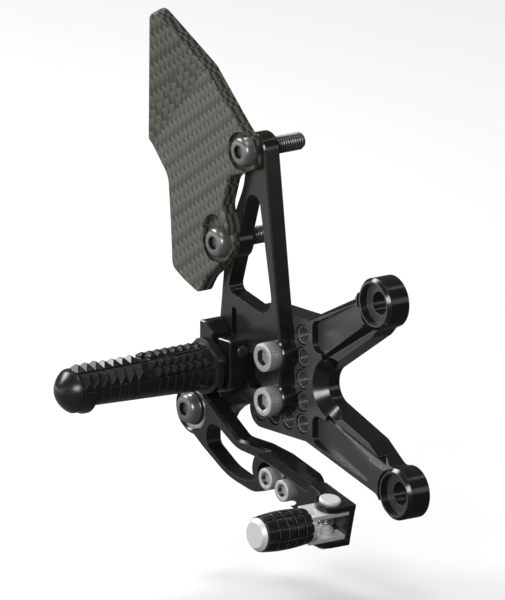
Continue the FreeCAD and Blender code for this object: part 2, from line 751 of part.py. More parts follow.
def peg_clamp_screw():
    """Cross screw that closes the clamp and sits in the groove of the peg's spigot."""
    left = PEG_X - MOUNT_HALF_W
    start = vec(left, PLATE_FRONT - CLAMP_PIN_OUT, PEG_Z + CLAMP_PIN_UP)
    screw = Part.makeCylinder(M5_R, 2 * MOUNT_HALF_W, start, vec(1, 0, 0))
    socket = hex_prism((0.0, 0.0), 0.0, M5_R + 1.0, 2 * M5_R - 1.0)
    socket.rotate(vec(0, 0, 0), vec(0, 0, 1), -90)
    socket.translate(start - vec(1.0, 0, 0))
    return one_solid(screw.cut(socket))


def peg_mount_screws():
    """Three countersunk screws from the plate's rear into the clamp block."""
    screws = []
    for place in mount_screws():
        head = frustum(place, PLATE_BACK - M5_R, PLATE_BACK, M5_R, 2 * M5_R)
        shank = rod(place, PLATE_BACK - 0.1, PLATE_FRONT - 6.0, M5_R)
        screw = head.fuse(shank).cut(hex_prism(place, PLATE_BACK - 2.4, PLATE_BACK + 1.0, 3.0))
        screws.append(one_solid(screw))
    return Part.makeCompound(screws)


def core_radius(distance):
    """Radius of the peg's core at a distance from the collar: a taper, then straight."""
    return CORE_R_IN + (CORE_R_OUT - CORE_R_IN) * min(distance, CORE_TAPER_L) / CORE_TAPER_L


def tooth(distance, pitch, angle_deg, width, aside, tip_r):
    """One four-sided tooth on the core, its middle aside of the strip's middle."""
    base_r = core_radius(distance) - TOOTH_ROOT
    tip_w = width * TOOTH_TIP_SHARE
    levels = ((base_r, width / 2, pitch / 2), (tip_r, tip_w / 2, TOOTH_CREST / 2))
    wires = []
    for radius, half_w, half_p in levels:
        ring = [
            vec(radius, -half_p, aside - half_w),
            vec(radius, half_p, aside - half_w),
            vec(radius, half_p, aside + half_w),
            vec(radius, -half_p, aside + half_w),
        ]
        wires.append(Part.makePolygon(ring + [ring[0]]))
    shape = Part.makeLoft(wires, True, True)
    shape.rotate(vec(0, 0, 0), vec(0, 1, 0), -angle_deg)
    shape.translate(vec(PEG_X, COLLAR_FRONT - distance, PEG_Z))
    return shape


def peg_teeth():
    """Teeth of the three strips: two staggered rows near the collar, one coarse row further out."""
    teeth = []
    first = RING_AT + RING_L
    for angle in STRIP_DEGS:
        for index in range(TEETH_IN):
            for side, shift in ((-STRIP_W / 4, 0.5), (STRIP_W / 4, 1.0)):
                distance = TEETH_START + TOOTH_IN_PITCH * (index + shift)
                teeth.append(tooth(distance, TOOTH_IN_PITCH, angle, STRIP_W / 2, side, TOOTH_TIP_R))
        for index in range(TEETH_OUT):
            distance = first + TOOTH_OUT_PITCH * (index + 0.5)
            tip_r = TOOTH_END_R if index >= TEETH_OUT - TEETH_ON_FLANGE else TOOTH_TIP_R
            teeth.append(tooth(distance, TOOTH_OUT_PITCH, angle, STRIP_W, 0.0, tip_r))
    return teeth


def peg_sector_box(angle_deg, inner_r, width, start, end):
    """Long box along the peg that reaches outwards from a radius."""
    box = Part.makeBox(8.0, abs(end - start), width, vec(inner_r, min(start, end), -width / 2))
    box.rotate(vec(0, 0, 0), vec(0, 1, 0), -angle_deg)
    box.translate(vec(PEG_X, 0, PEG_Z))
    return box


def tapered_channel(angle_deg, width, depth):
    """Channel along the taper, from the first tooth to where the core runs straight."""
    start = TEETH_START
    end = CORE_TAPER_L
    section = [
        vec(core_radius(start) - depth, -start, 0),
        vec(core_radius(end) - depth, -end, 0),
        vec(COLLAR_R + 1.0, -end, 0),
        vec(COLLAR_R + 1.0, -start, 0),
    ]
    face = Part.Face(Part.makePolygon(section + [section[0]]))
    face.translate(vec(0, 0, -width / 2))
    channel = face.extrude(vec(0, 0, width))
    channel.rotate(vec(0, 0, 0), vec(0, 1, 0), -angle_deg)
    channel.translate(vec(PEG_X, COLLAR_FRONT, PEG_Z))
    return channel


def ring_grooves():
    """Profile points of the grooves round the core, from the collar to the flange."""
    points = []
    for index in range(TEETH_IN):
        distance = TEETH_START + TOOTH_IN_PITCH * (index + 0.75)
        points.append((distance, GROOVE_IN))
    for index in range(1, TEETH_OUT - 1):
        distance = RING_AT + RING_L + TOOTH_OUT_PITCH * index
        points.append((distance, GROOVE_OUT))
    profile = []
    for distance, depth in points:
        radius = core_radius(distance)
        profile.append((COLLAR_FRONT - distance + GROOVE_W, radius))
        profile.append((COLLAR_FRONT - distance, radius - depth))
        profile.append((COLLAR_FRONT - distance - GROOVE_W, radius))
    return profile


def footpeg_body():
    """Peg: spigot, collar with flats, grooved core, end flange and three toothed strips."""
    pin_y = PLATE_FRONT - CLAMP_PIN_OUT
    groove = M5_R + 0.4
    spigot_end = PLATE_FRONT - SIDE_GAP
    flange_back = CORE_END + FLANGE_AT
    profile = [
        (spigot_end, 0.0),
        (spigot_end, SPIGOT_GROOVE_R),
        (pin_y - groove, SPIGOT_GROOVE_R),
        (pin_y - groove, SPIGOT_R),
        (PEG_FACE, SPIGOT_R),
        (PEG_FACE, NECK_R),
        (COLLAR_BACK, NECK_R),
        (COLLAR_BACK, COLLAR_R),
        (COLLAR_FRONT, COLLAR_R),
        (COLLAR_FRONT, CORE_R_IN),
    ]
    profile += ring_grooves()
    profile += [
        (flange_back, CORE_R_OUT),
        (flange_back, FLANGE_R),
        (flange_back - FLANGE_AT / 3, FLANGE_R),
        (CORE_END, FLANGE_END_R),
        (CORE_END, 0.0),
    ]
    peg = turned(PEG_AXIS, profile)
    for angle in COLLAR_FLAT_DEGS:
        peg = peg.cut(peg_sector_box(angle, COLLAR_R - 1.0, 24.0, PEG_FACE, COLLAR_FRONT - 1.0))
    for angle in STRIP_DEGS:
        peg = peg.cut(peg_sector_box(angle, CORE_R_OUT - STRIP_SINK, STRIP_W + 0.6, COLLAR_FRONT - CORE_TAPER_L,
                                     CORE_END - 1.0))
        peg = peg.cut(tapered_channel(angle, STRIP_W + 0.6, STRIP_SINK))
    ring = turned(PEG_AXIS, [
        (COLLAR_FRONT - RING_AT - 0.4, 0.0),
        (COLLAR_FRONT - RING_AT - 0.4, core_radius(RING_AT) + 0.6),
        (COLLAR_FRONT - RING_AT - RING_L + 0.4, core_radius(RING_AT) + 0.6),
        (COLLAR_FRONT - RING_AT - RING_L + 0.4, 0.0),
    ])
    peg = peg.fuse([ring] + peg_teeth())
    for angle in SEAM_DEGS:
        peg = peg.cut(tapered_channel(angle, SEAM_W, SEAM_DEEP))
    peg = peg.cut(rod(PEG_AXIS, CORE_END, CORE_END + PLUG_STUD_L + 1.0, PLUG_STUD_R + THREAD_GAP))
    return one_solid(peg)


def footpeg_end_plug():
    """Rounded plug behind a narrow groove, with a stud that screws into the peg."""
    rim = CORE_END - PLUG_RIM_L
    tip = rim - PLUG_DOME_L
    middle = vec(PEG_X + PLUG_TIP_R + (PLUG_R - PLUG_TIP_R) * 0.68, rim - PLUG_DOME_L * 0.56, PEG_Z)
    axis_points = [
        (tip - PLUG_TIP_L, 0.0),
        (CORE_END + PLUG_STUD_L, 0.0),
        (CORE_END + PLUG_STUD_L, PLUG_STUD_R),
        (CORE_END, PLUG_STUD_R),
        (CORE_END, PLUG_BACK_R),
        (CORE_END - PLUG_RIM_L / 2, PLUG_BACK_R),
        (rim, PLUG_R),
    ]
    points = [vec(PEG_X + radius, y, PEG_Z) for y, radius in axis_points]
    end = vec(PEG_X + PLUG_TIP_R, tip, PEG_Z)
    edges = [Part.LineSegment(a, b).toShape() for a, b in zip(points, points[1:])]
    edges.append(Part.Arc(points[-1], middle, end).toShape())
    edges.append(Part.LineSegment(end, points[0]).toShape())
    profile = Part.Face(Part.Wire(edges))
    return one_solid(profile.revolve(vec(PEG_X, 0, PEG_Z), vec(0, 1, 0), 360))


def toe_place(along, across):
    """A place on the toe arm, from distances along it and across it."""
    direction = unit(TOE_DEG)
    normal = (-direction[1], direction[0])
    return shifted(shifted(TOE_SCREW, direction, along), normal, across)


def lever_outline():
    """Corners of the lever's body, without its round boss."""
    return [
        corner(beside(PIVOT, 4.0, 9.0), 0.0),
        corner(beside(PIVOT, 12.4, 5.4), 6.0),
        (-70.8, -71.4, 8.0),
        (-55.0, -71.6, 10.0),
        corner(toe_place(-6.0, 6.2), 10.0),
        corner(toe_place(18.6, 6.2), 6.0),
        corner(toe_place(18.6, -6.2), 6.0),
        corner(toe_place(-8.0, -6.4), 8.0),
        (-50.4, -91.0, 7.0),
        (-60.5, -93.6, 14.0),
        (-78.6, -90.2, 40.0),
        (-96.0, -80.6, 30.0),
        corner(beside(PIVOT, -8.0, -6.5), 4.0),
    ]


def lever_slot():
    """Corners of the lever's long slot."""
    return [
        (-92.6, -68.0, 5.2),
        (-84.6, -68.4, 5.0),
        (-71.0, -75.8, 20.0),
        (-53.4, -77.2, 4.5),
        (-53.0, -86.4, 4.5),
        (-66.0, -89.6, 22.0),
        (-79.0, -86.4, 22.0),
        (-92.6, -78.4, 4.0),
    ]


def brake_lever():
    """Lever plate: bearing boss, two limbs round a slot, and the pad for the toe arm."""
    face = face_at(lever_outline(), LEVER_FRONT)
    face = face.fuse(disc(PIVOT, LEVER_FRONT, LEVER_BOSS_R)).removeSplitter()
    outline = closed_corners(face.Faces[0], 3.0)
    lever = outline.extrude(vec(0, LEVER_T, 0))
    lever = softened(lever, LEVER_FRONT, LEVER_EDGE)
    cutter = slab(lever_slot(), LEVER_FRONT - 1.0, LEVER_BACK + 1.0)
    lever = lever.cut(cutter)
    lever = lever.cut(rod(PIVOT, LEVER_FRONT - 1.0, BEARING_BACK, BEARING_OUT_R + 0.01))
    lever = lever.cut(rod(PIVOT, BEARING_BACK - 1.0, LEVER_BACK + 1.0, BEARING_LIP_R))
    mouth = BEARING_INSET * 0.8
    lever = lever.cut(frustum(PIVOT, LEVER_FRONT, LEVER_FRONT + mouth, BEARING_OUT_R + 0.9, BEARING_OUT_R))
    for index in range(2):
        place = toe_place(TOE_PITCH * index, 0.0)
        lever = lever.cut(rod(place, LEVER_FRONT - 1.0, LEVER_BACK + 1.0, M6_R + THREAD_GAP))
    return one_solid(lever)


def bearing_ring(outer_r, inner_r, race_r, race_depth):
    """One ring of the bearing with a round race."""
    ring = rod(PIVOT, BEARING_FRONT, BEARING_BACK, outer_r)
    ring = ring.cut(rod(PIVOT, BEARING_FRONT, BEARING_BACK, inner_r))
    centre = (BEARING_FRONT + BEARING_BACK) / 2
    race = Part.makeTorus(race_r, race_depth, vec(PIVOT[0], centre, PIVOT[1]), vec(0, 1, 0))
    return one_solid(ring.cut(race))


def bearing_parts():
    """Outer ring, inner ring, balls and the two seals of the lever's bearing."""
    outer_in = BEARING_OUT_R - BEARING_OUTER_T
    inner_out = BEARING_IN_R + BEARING_INNER_T
    pitch_r = (outer_in + inner_out) / 2
    race = BALL_R + 0.02
    outer = bearing_ring(BEARING_OUT_R, outer_in, pitch_r, race)
    inner = bearing_ring(inner_out, BEARING_IN_R + 0.02, pitch_r, race)
    centre = (BEARING_FRONT + BEARING_BACK) / 2
    balls = []
    for index in range(BALLS):
        angle = 2 * math.pi * index / BALLS
        balls.append(Part.makeSphere(BALL_R, vec(PIVOT[0] + pitch_r * math.cos(angle), centre,
                                                 PIVOT[1] + pitch_r * math.sin(angle))))
    seals = []
    for level in (BEARING_FRONT + 0.2, BEARING_BACK - 0.2 - SEAL_T):
        seal = rod(PIVOT, level, level + SEAL_T, outer_in)
        seals.append(one_solid(seal.cut(rod(PIVOT, level, level + SEAL_T, inner_out + 0.1))))
    return outer, inner, Part.makeCompound(balls), Part.makeCompound(seals)


def lever_spacer():
    """Stepped spacer between the plate's leg and the bearing's inner ring."""
    step = LEVER_BACK + SIDE_GAP
    spacer = turned(PIVOT, [
        (LEG_FRONT, M8_R + CLEARANCE_GAP),
        (LEG_FRONT, SPACER_R),
        (step, SPACER_R),
        (step, PIVOT_SHOULDER_R),
        (BEARING_BACK, PIVOT_SHOULDER_R),
        (BEARING_BACK, M8_R + CLEARANCE_GAP),
    ])
    return one_solid(spacer)


def lever_pivot_bolt():
    """Button head screw that the lever turns on."""
    length = PLATE_BACK - 0.6 - BEARING_FRONT
    return button_screw(PIVOT, BEARING_FRONT, M8_R, length, PIVOT_SHOULDER_R, PIVOT_SHOULDER_L)


def pin_rod(radius, low, high):
    """Cylinder along the hinge pin's axis, in the toe arm's own axes."""
    return Part.makeCylinder(radius, high - low, vec(FORK_AT, HINGE_Y, low), vec(0, 0, 1))


def toe_arm():
    """Toe arm: counterbored slot for two screws, and a fork for the toe peg."""
    play = TOE_SLOT_PLAY
    bar = [
        corner((-12.9, TOE_ARM_HIGH), 6.0),
        corner((FORK_START + 8.0, TOE_ARM_HIGH), 0.0),
        corner((FORK_START + 8.0, -TOE_ARM_LOW), 0.0),
        corner((-12.9, -TOE_ARM_LOW), 6.0),
    ]
    arm = slab(bar, ARM_FRONT, LEVER_FRONT)
    bevel = Part.makePolygon([
        vec(-30.0, ARM_FRONT - 1.0, TOE_ARM_HIGH - TOE_ARM_BEVEL_IN * 1.25),
        vec(-30.0, ARM_FRONT + TOE_ARM_BEVEL_DEEP, TOE_ARM_HIGH),
        vec(-30.0, ARM_FRONT + TOE_ARM_BEVEL_DEEP, TOE_ARM_HIGH + 9.0),
        vec(-30.0, ARM_FRONT - 1.0, TOE_ARM_HIGH + 9.0),
        vec(-30.0, ARM_FRONT - 1.0, TOE_ARM_HIGH - TOE_ARM_BEVEL_IN * 1.25),
    ])
    arm = arm.cut(Part.Face(bevel).extrude(vec(90.0, 0, 0)))
    step = FORK_HALF_H - FORK_EAR_T
    web = slab([
        (FORK_START, FORK_HALF_H, 5.0),
        (FORK_END, FORK_HALF_H, 1.5),
        (FORK_END, -FORK_HALF_H, 1.5),
        (FORK_START + 6.0, -FORK_HALF_H, 6.0),
    ], LEVER_FRONT - FORK_WEB_T, LEVER_FRONT)
    ears = []
    for low in (step, -FORK_HALF_H):
        nose = pin_rod(FORK_NOSE_R, low, low + FORK_EAR_T)
        wide = Part.makeBox(2 * FORK_NOSE_R, LEVER_FRONT - HINGE_Y, FORK_EAR_T,
                            vec(FORK_AT - FORK_NOSE_R, HINGE_Y, low))
        gusset = Part.makePolygon([
            vec(FORK_START + 3.0, LEVER_FRONT, low),
            vec(FORK_AT, LEVER_FRONT, low),
            vec(FORK_AT, HINGE_Y, low),
            vec(FORK_AT - FORK_NOSE_R, HINGE_Y, low),
            vec(FORK_START + 8.0, ARM_FRONT, low),
            vec(FORK_START + 3.0, ARM_FRONT, low),
            vec(FORK_START + 3.0, LEVER_FRONT, low),
        ])
        ears.append(nose.fuse([wide, Part.Face(gusset).extrude(vec(0, 0, FORK_EAR_T))]))
    heel = slab([
        (FORK_START, FORK_HALF_H, 5.0),
        (FORK_START + 9.0, FORK_HALF_H, 0.0),
        (FORK_START + 9.0, -FORK_HALF_H, 0.0),
        (FORK_START + 3.0, -FORK_HALF_H, 4.0),
        (FORK_START, -TOE_ARM_LOW, 0.0),
    ], ARM_FRONT, LEVER_FRONT)
    arm = arm.fuse([web, heel] + ears)
    floor = slab(slot_corners(TOE_WASHER_R + 0.3, play), ARM_FRONT - 1.0, TOE_SEAT)
    through = slab(slot_corners(M6_R + CLEARANCE_GAP, play), ARM_FRONT - 1.0, LEVER_FRONT + 1.0)
    arm = arm.cut([floor, through])
    for low in (step, -FORK_HALF_H):
        arm = arm.cut(pin_rod(PIN_R + 0.02, low - 1.0, low + FORK_EAR_T + 1.0))
    return to_lever(one_solid(arm))


def slot_corners(radius, play):
    """Outline of a slot round the toe arm's two screws."""
    start = -radius - play
    end = TOE_PITCH + radius + play
    r = radius - 0.01
    return [(start, radius, r), (end, radius, r), (end, -radius, r), (start, -radius, r)]


def to_lever(shape):
    """Carries a shape from the toe arm's own axes to its place on the lever."""
    shape = shape.copy()
    shape.rotate(vec(0, 0, 0), vec(0, 1, 0), -TOE_DEG)
    shape.translate(vec(TOE_SCREW[0], 0, TOE_SCREW[1]))
    return shape


def toe_arm_screw(index):
    """One M6 screw of the toe arm."""
    place = toe_place(TOE_PITCH * index, 0.0)
    seat = TOE_SEAT - TOE_WASHER_T
    length = LEVER_BACK - 0.6 - seat
    return socket_screw(place, seat, TOE_HEAD_R, TOE_HEAD_H, TOE_HEAD_HEX, M6_R, length)


def toe_arm_washer(index):
    """Washer under one M6 screw."""
    place = toe_place(TOE_PITCH * index, 0.0)
    washer = rod(place, TOE_SEAT - TOE_WASHER_T, TOE_SEAT, TOE_WASHER_R)
    return one_solid(washer.cut(rod(place, TOE_SEAT - TOE_WASHER_T, TOE_SEAT, M6_R + 0.2)))


def hinge_pin():
    """Headed pin of the toe peg, with a groove for its clip."""
    top = FORK_HALF_H
    pin = pin_rod(PIN_R, -top - PIN_TAIL, top)
    head = pin_rod(PIN_HEAD_R, top, top + PIN_HEAD_T)
    rim = [edge for edge in head.Edges if edge.BoundBox.ZMin > top + PIN_HEAD_T / 2]
    head = head.makeChamfer(PIN_HEAD_T / 3, rim)
    pin = pin.fuse(head)
    low = -top - CLIP_T - CLIP_GAP
    groove = pin_rod(PIN_R + 1.0, low, low + CLIP_T)
    core = pin_rod(PIN_R - CLIP_GROOVE, low, low + CLIP_T)
    return to_lever(one_solid(pin.cut(groove.cut(core))))


def hinge_clip():
    """Open ring in the pin's groove."""
    low = -FORK_HALF_H - CLIP_T - CLIP_GAP
    ring = pin_rod(CLIP_R, low, low + CLIP_T)
    ring = ring.cut(pin_rod(PIN_R - CLIP_GROOVE + THREAD_GAP, low, low + CLIP_T))
    ring = ring.cut(Part.makeBox(3.0, 10.0, CLIP_T, vec(FORK_AT - 1.5, HINGE_Y, low)))
    return to_lever(one_solid(ring))


def toe_knuckle():
    """Silver knuckle: two ears round the spring, a hub behind the sleeve, and the spindle."""
    inner = FORK_HALF_H - FORK_EAR_T - SIDE_GAP
    half = KNUCKLE_W / 2
    sleeve_back = HINGE_Y - KNUCKLE_L
    stop = LEVER_FRONT - FORK_WEB_T - THREAD_GAP
    diagonal = half * math.sqrt(0.5)
    outline = Part.Wire([
        Part.Arc(vec(FORK_AT, HINGE_Y + half, -inner), vec(FORK_AT - diagonal, HINGE_Y + diagonal, -inner),
                 vec(FORK_AT - half, HINGE_Y, -inner)).toShape(),
        Part.makePolygon([
            vec(FORK_AT - half, HINGE_Y, -inner),
            vec(FORK_AT - half, sleeve_back, -inner),
            vec(FORK_AT + half, sleeve_back, -inner),
            vec(FORK_AT + half, stop, -inner),
            vec(FORK_AT, stop, -inner),
            vec(FORK_AT, HINGE_Y + half, -inner),
        ]),
    ])
    body = Part.Face(outline).extrude(vec(0, 0, 2 * inner))
    window_h = 2 * (inner - KNUCKLE_EAR_T)
    window = Part.makeBox(2 * KNUCKLE_W, KNUCKLE_L + KNUCKLE_W, window_h,
                          vec(FORK_AT - KNUCKLE_W, sleeve_back + 3.4, -window_h / 2))
    body = body.cut(window)
    post = pin_rod(PIN_R + 0.9, -window_h / 2, -window_h / 4)
    flange = Part.makeCylinder(SLEEVE_END_R - 0.2, 2.2, vec(FORK_AT, sleeve_back, 0), vec(0, 1, 0))
    spindle = Part.makeCylinder(SLEEVE_BORE_R - 0.02, SLEEVE_L, vec(FORK_AT, sleeve_back - SLEEVE_L, 0),
                                vec(0, 1, 0))
    body = body.fuse([post, flange, spindle])
    body = body.cut(pin_rod(PIN_R + RUN_GAP, -2 * inner, 2 * inner))
    return to_lever(one_solid(body))


def toe_sleeve():
    """Sleeve with a square grid cut round it."""
    front = HINGE_Y - KNUCKLE_L - SLEEVE_L
    back = HINGE_Y - KNUCKLE_L
    middle = (front + back) / 2
    ends = (vec(SLEEVE_END_R, front, 0), vec(SLEEVE_END_R, back, 0))
    crown = Part.Arc(ends[0], vec(SLEEVE_R, middle, 0), ends[1]).toShape()
    profile = Part.Wire([
        crown,
        Part.LineSegment(vec(SLEEVE_END_R, back, 0), vec(SLEEVE_BORE_R, back, 0)).toShape(),
        Part.LineSegment(vec(SLEEVE_BORE_R, back, 0), vec(SLEEVE_BORE_R, front, 0)).toShape(),
        Part.LineSegment(vec(SLEEVE_BORE_R, front, 0), vec(SLEEVE_END_R, front, 0)).toShape(),
    ])
    sleeve = Part.Face(profile).revolve(vec(0, 0, 0), vec(0, 1, 0), 360)
    cutters = []
    step = SLEEVE_L / SLEEVE_COLUMNS
    for index in range(1, SLEEVE_COLUMNS):
        level = front + step * index - SLEEVE_GROOVE_W / 2
        ring = Part.makeCylinder(SLEEVE_R + 2.0, SLEEVE_GROOVE_W, vec(0, level, 0), vec(0, 1, 0))
        floor_r = SLEEVE_END_R - SLEEVE_GROOVE_D
        core = Part.makeCylinder(floor_r, SLEEVE_GROOVE_W, vec(0, level, 0), vec(0, 1, 0))
        cutters.append(ring.cut(core))
    for index in range(SLEEVE_ROWS):
        bar = Part.makeBox(4.0, SLEEVE_L + 2.0, SLEEVE_GROOVE_W,
                           vec(SLEEVE_END_R - SLEEVE_GROOVE_D, front - 1.0, -SLEEVE_GROOVE_W / 2))
        bar.rotate(vec(0, 0, 0), vec(0, 1, 0), 360.0 * index / SLEEVE_ROWS)
        cutters.append(bar)
    sleeve = sleeve.cut(cutters)
    sleeve.translate(vec(FORK_AT, 0, 0))
    return to_lever(one_solid(sleeve))


def toe_cap():
    """Bevelled cap that holds the sleeve on its spindle."""
    back = HINGE_Y - KNUCKLE_L - SLEEVE_L
    cap = turned((0.0, 0.0), [
        (back, 0.0),
        (back, CAP_R - 0.4),
        (back - 0.6, CAP_R),
        (back - CAP_T, CAP_FRONT_R),
        (back - CAP_T, 0.0),
    ])
    cap.translate(vec(FORK_AT, 0, 0))
    return to_lever(one_solid(cap))


def toe_spring():
    """Torsion spring round the hinge pin, drawn as close rings with one leg."""
    inner = FORK_HALF_H - FORK_EAR_T - SIDE_GAP - KNUCKLE_EAR_T
    pitch = 2 * SPRING_WIRE_R + 0.15
    height = pitch * (SPRING_TURNS - 1)
    base = inner - 0.3 - SPRING_WIRE_R - height
    rings = []
    for index in range(SPRING_TURNS):
        centre = vec(FORK_AT, HINGE_Y, base + pitch * index)
        rings.append(Part.makeTorus(SPRING_R, SPRING_WIRE_R, centre, vec(0, 0, 1)))
    root = vec(FORK_AT, HINGE_Y + SPRING_R, base)
    link = Part.makeCylinder(0.6 * SPRING_WIRE_R, height, root, vec(0, 0, 1))
    leg = Part.makeCylinder(0.8 * SPRING_WIRE_R, SPRING_LEG, root, vec(-1, 0.35, 0))
    spring = rings[0].fuse(rings[1:] + [link, leg])
    return to_lever(one_solid(spring))


def all_parts():
    """Every piece by the name of its node."""
    outer, inner, balls, seals = bearing_parts()
    plate_bolts = [
        socket_screw(place, PLATE_FRONT, PLATE_HEAD_R, PLATE_HEAD_H, PLATE_HEAD_HEX, M8_R, PLATE_BOLT_L)
        for place in (BOLT_UPPER, BOLT_LOWER)
    ]
    return {
        "frame_adapter_plate": frame_adapter_plate(),
        "main_plate": main_plate(),
        "plate_bolt_upper": plate_bolts[0],
        "plate_bolt_lower": plate_bolts[1],
        "heel_guard": heel_guard(),
        "heel_guard_bolt_upper": button_screw(GUARD_UPPER, GUARD_SEAT, M8_R, GUARD_BOLT_L),
        "heel_guard_bolt_lower": button_screw(GUARD_LOWER, GUARD_SEAT, M8_R, GUARD_BOLT_L),
        "peg_mount": peg_mount(),
        "peg_mount_screws": peg_mount_screws(),
        "peg_clamp_screw": peg_clamp_screw(),
        "footpeg_body": footpeg_body(),
        "footpeg_end_plug": footpeg_end_plug(),
        "brake_lever": brake_lever(),
        "lever_bearing_outer_ring": outer,
        "lever_bearing_inner_ring": inner,
        "lever_bearing_balls": balls,
        "lever_bearing_seals": seals,
        "lever_spacer": lever_spacer(),
        "lever_pivot_bolt": lever_pivot_bolt(),
        "toe_arm": toe_arm(),
        "toe_arm_bolt_rear": toe_arm_screw(0),
        "toe_arm_bolt_front": toe_arm_screw(1),
        "toe_arm_washer_rear": toe_arm_washer(0),
        "toe_arm_washer_front": toe_arm_washer(1),
        "toe_peg_hinge_pin": hinge_pin(),
        "toe_peg_hinge_clip": hinge_clip(),
        "toe_peg_knuckle": toe_knuckle(),
        "toe_peg_spring": toe_spring(),
        "toe_peg_sleeve": toe_sleeve(),
        "toe_peg_end_cap": toe_cap(),
    }


os.makedirs("parts", exist_ok=True)
for name, shape in all_parts().items():
    shape.exportStep(f"parts/{name}.step")
    print(name, len(shape.Solids), round(shape.Volume, 1), shape.isValid())
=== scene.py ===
"""Looks for a motorcycle rear set footrest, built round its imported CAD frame."""

import logging
import math
from collections.abc import Callable, Sequence
from dataclasses import dataclass, replace
from enum import Enum

import bmesh
import bpy
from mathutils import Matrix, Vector


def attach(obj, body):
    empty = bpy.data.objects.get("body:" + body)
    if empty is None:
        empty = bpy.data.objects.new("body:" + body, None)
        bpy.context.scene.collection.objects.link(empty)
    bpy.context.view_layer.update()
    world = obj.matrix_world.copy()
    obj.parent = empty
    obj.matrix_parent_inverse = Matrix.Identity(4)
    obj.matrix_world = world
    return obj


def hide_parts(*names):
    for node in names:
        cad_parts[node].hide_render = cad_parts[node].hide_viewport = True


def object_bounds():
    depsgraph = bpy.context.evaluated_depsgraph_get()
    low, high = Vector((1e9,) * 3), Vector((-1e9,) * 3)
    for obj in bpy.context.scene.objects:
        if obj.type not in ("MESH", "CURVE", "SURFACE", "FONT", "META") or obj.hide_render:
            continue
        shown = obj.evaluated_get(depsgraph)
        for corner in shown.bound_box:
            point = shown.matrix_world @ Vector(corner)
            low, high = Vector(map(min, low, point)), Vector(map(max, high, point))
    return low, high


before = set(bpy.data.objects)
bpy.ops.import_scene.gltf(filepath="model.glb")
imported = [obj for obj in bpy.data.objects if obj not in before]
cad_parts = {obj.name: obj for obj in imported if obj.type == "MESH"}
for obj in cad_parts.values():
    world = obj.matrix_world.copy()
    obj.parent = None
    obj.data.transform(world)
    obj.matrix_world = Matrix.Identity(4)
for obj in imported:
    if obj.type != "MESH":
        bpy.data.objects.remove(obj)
CAD_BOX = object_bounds()

log = logging.getLogger("rear_set")

MM = 0.001
Place = tuple[float, float]
Radius = float | Callable[[float, float], float]
Ring = tuple[float, Radius]
Colour = tuple[float, float, float]

# Level and places that the pieces share with the CAD, in millimetres.
PLATE_FRONT = -19.2
PEG_AXIS: Place = (-89.2, -41.6)
LEVER_PIVOT: Place = (-103.4, -64.0)


class Slot(Enum):
    """The record's material slots, named when each new piece is built."""

    BLACK = "black_anodised"
    STEEL = "bright_steel"


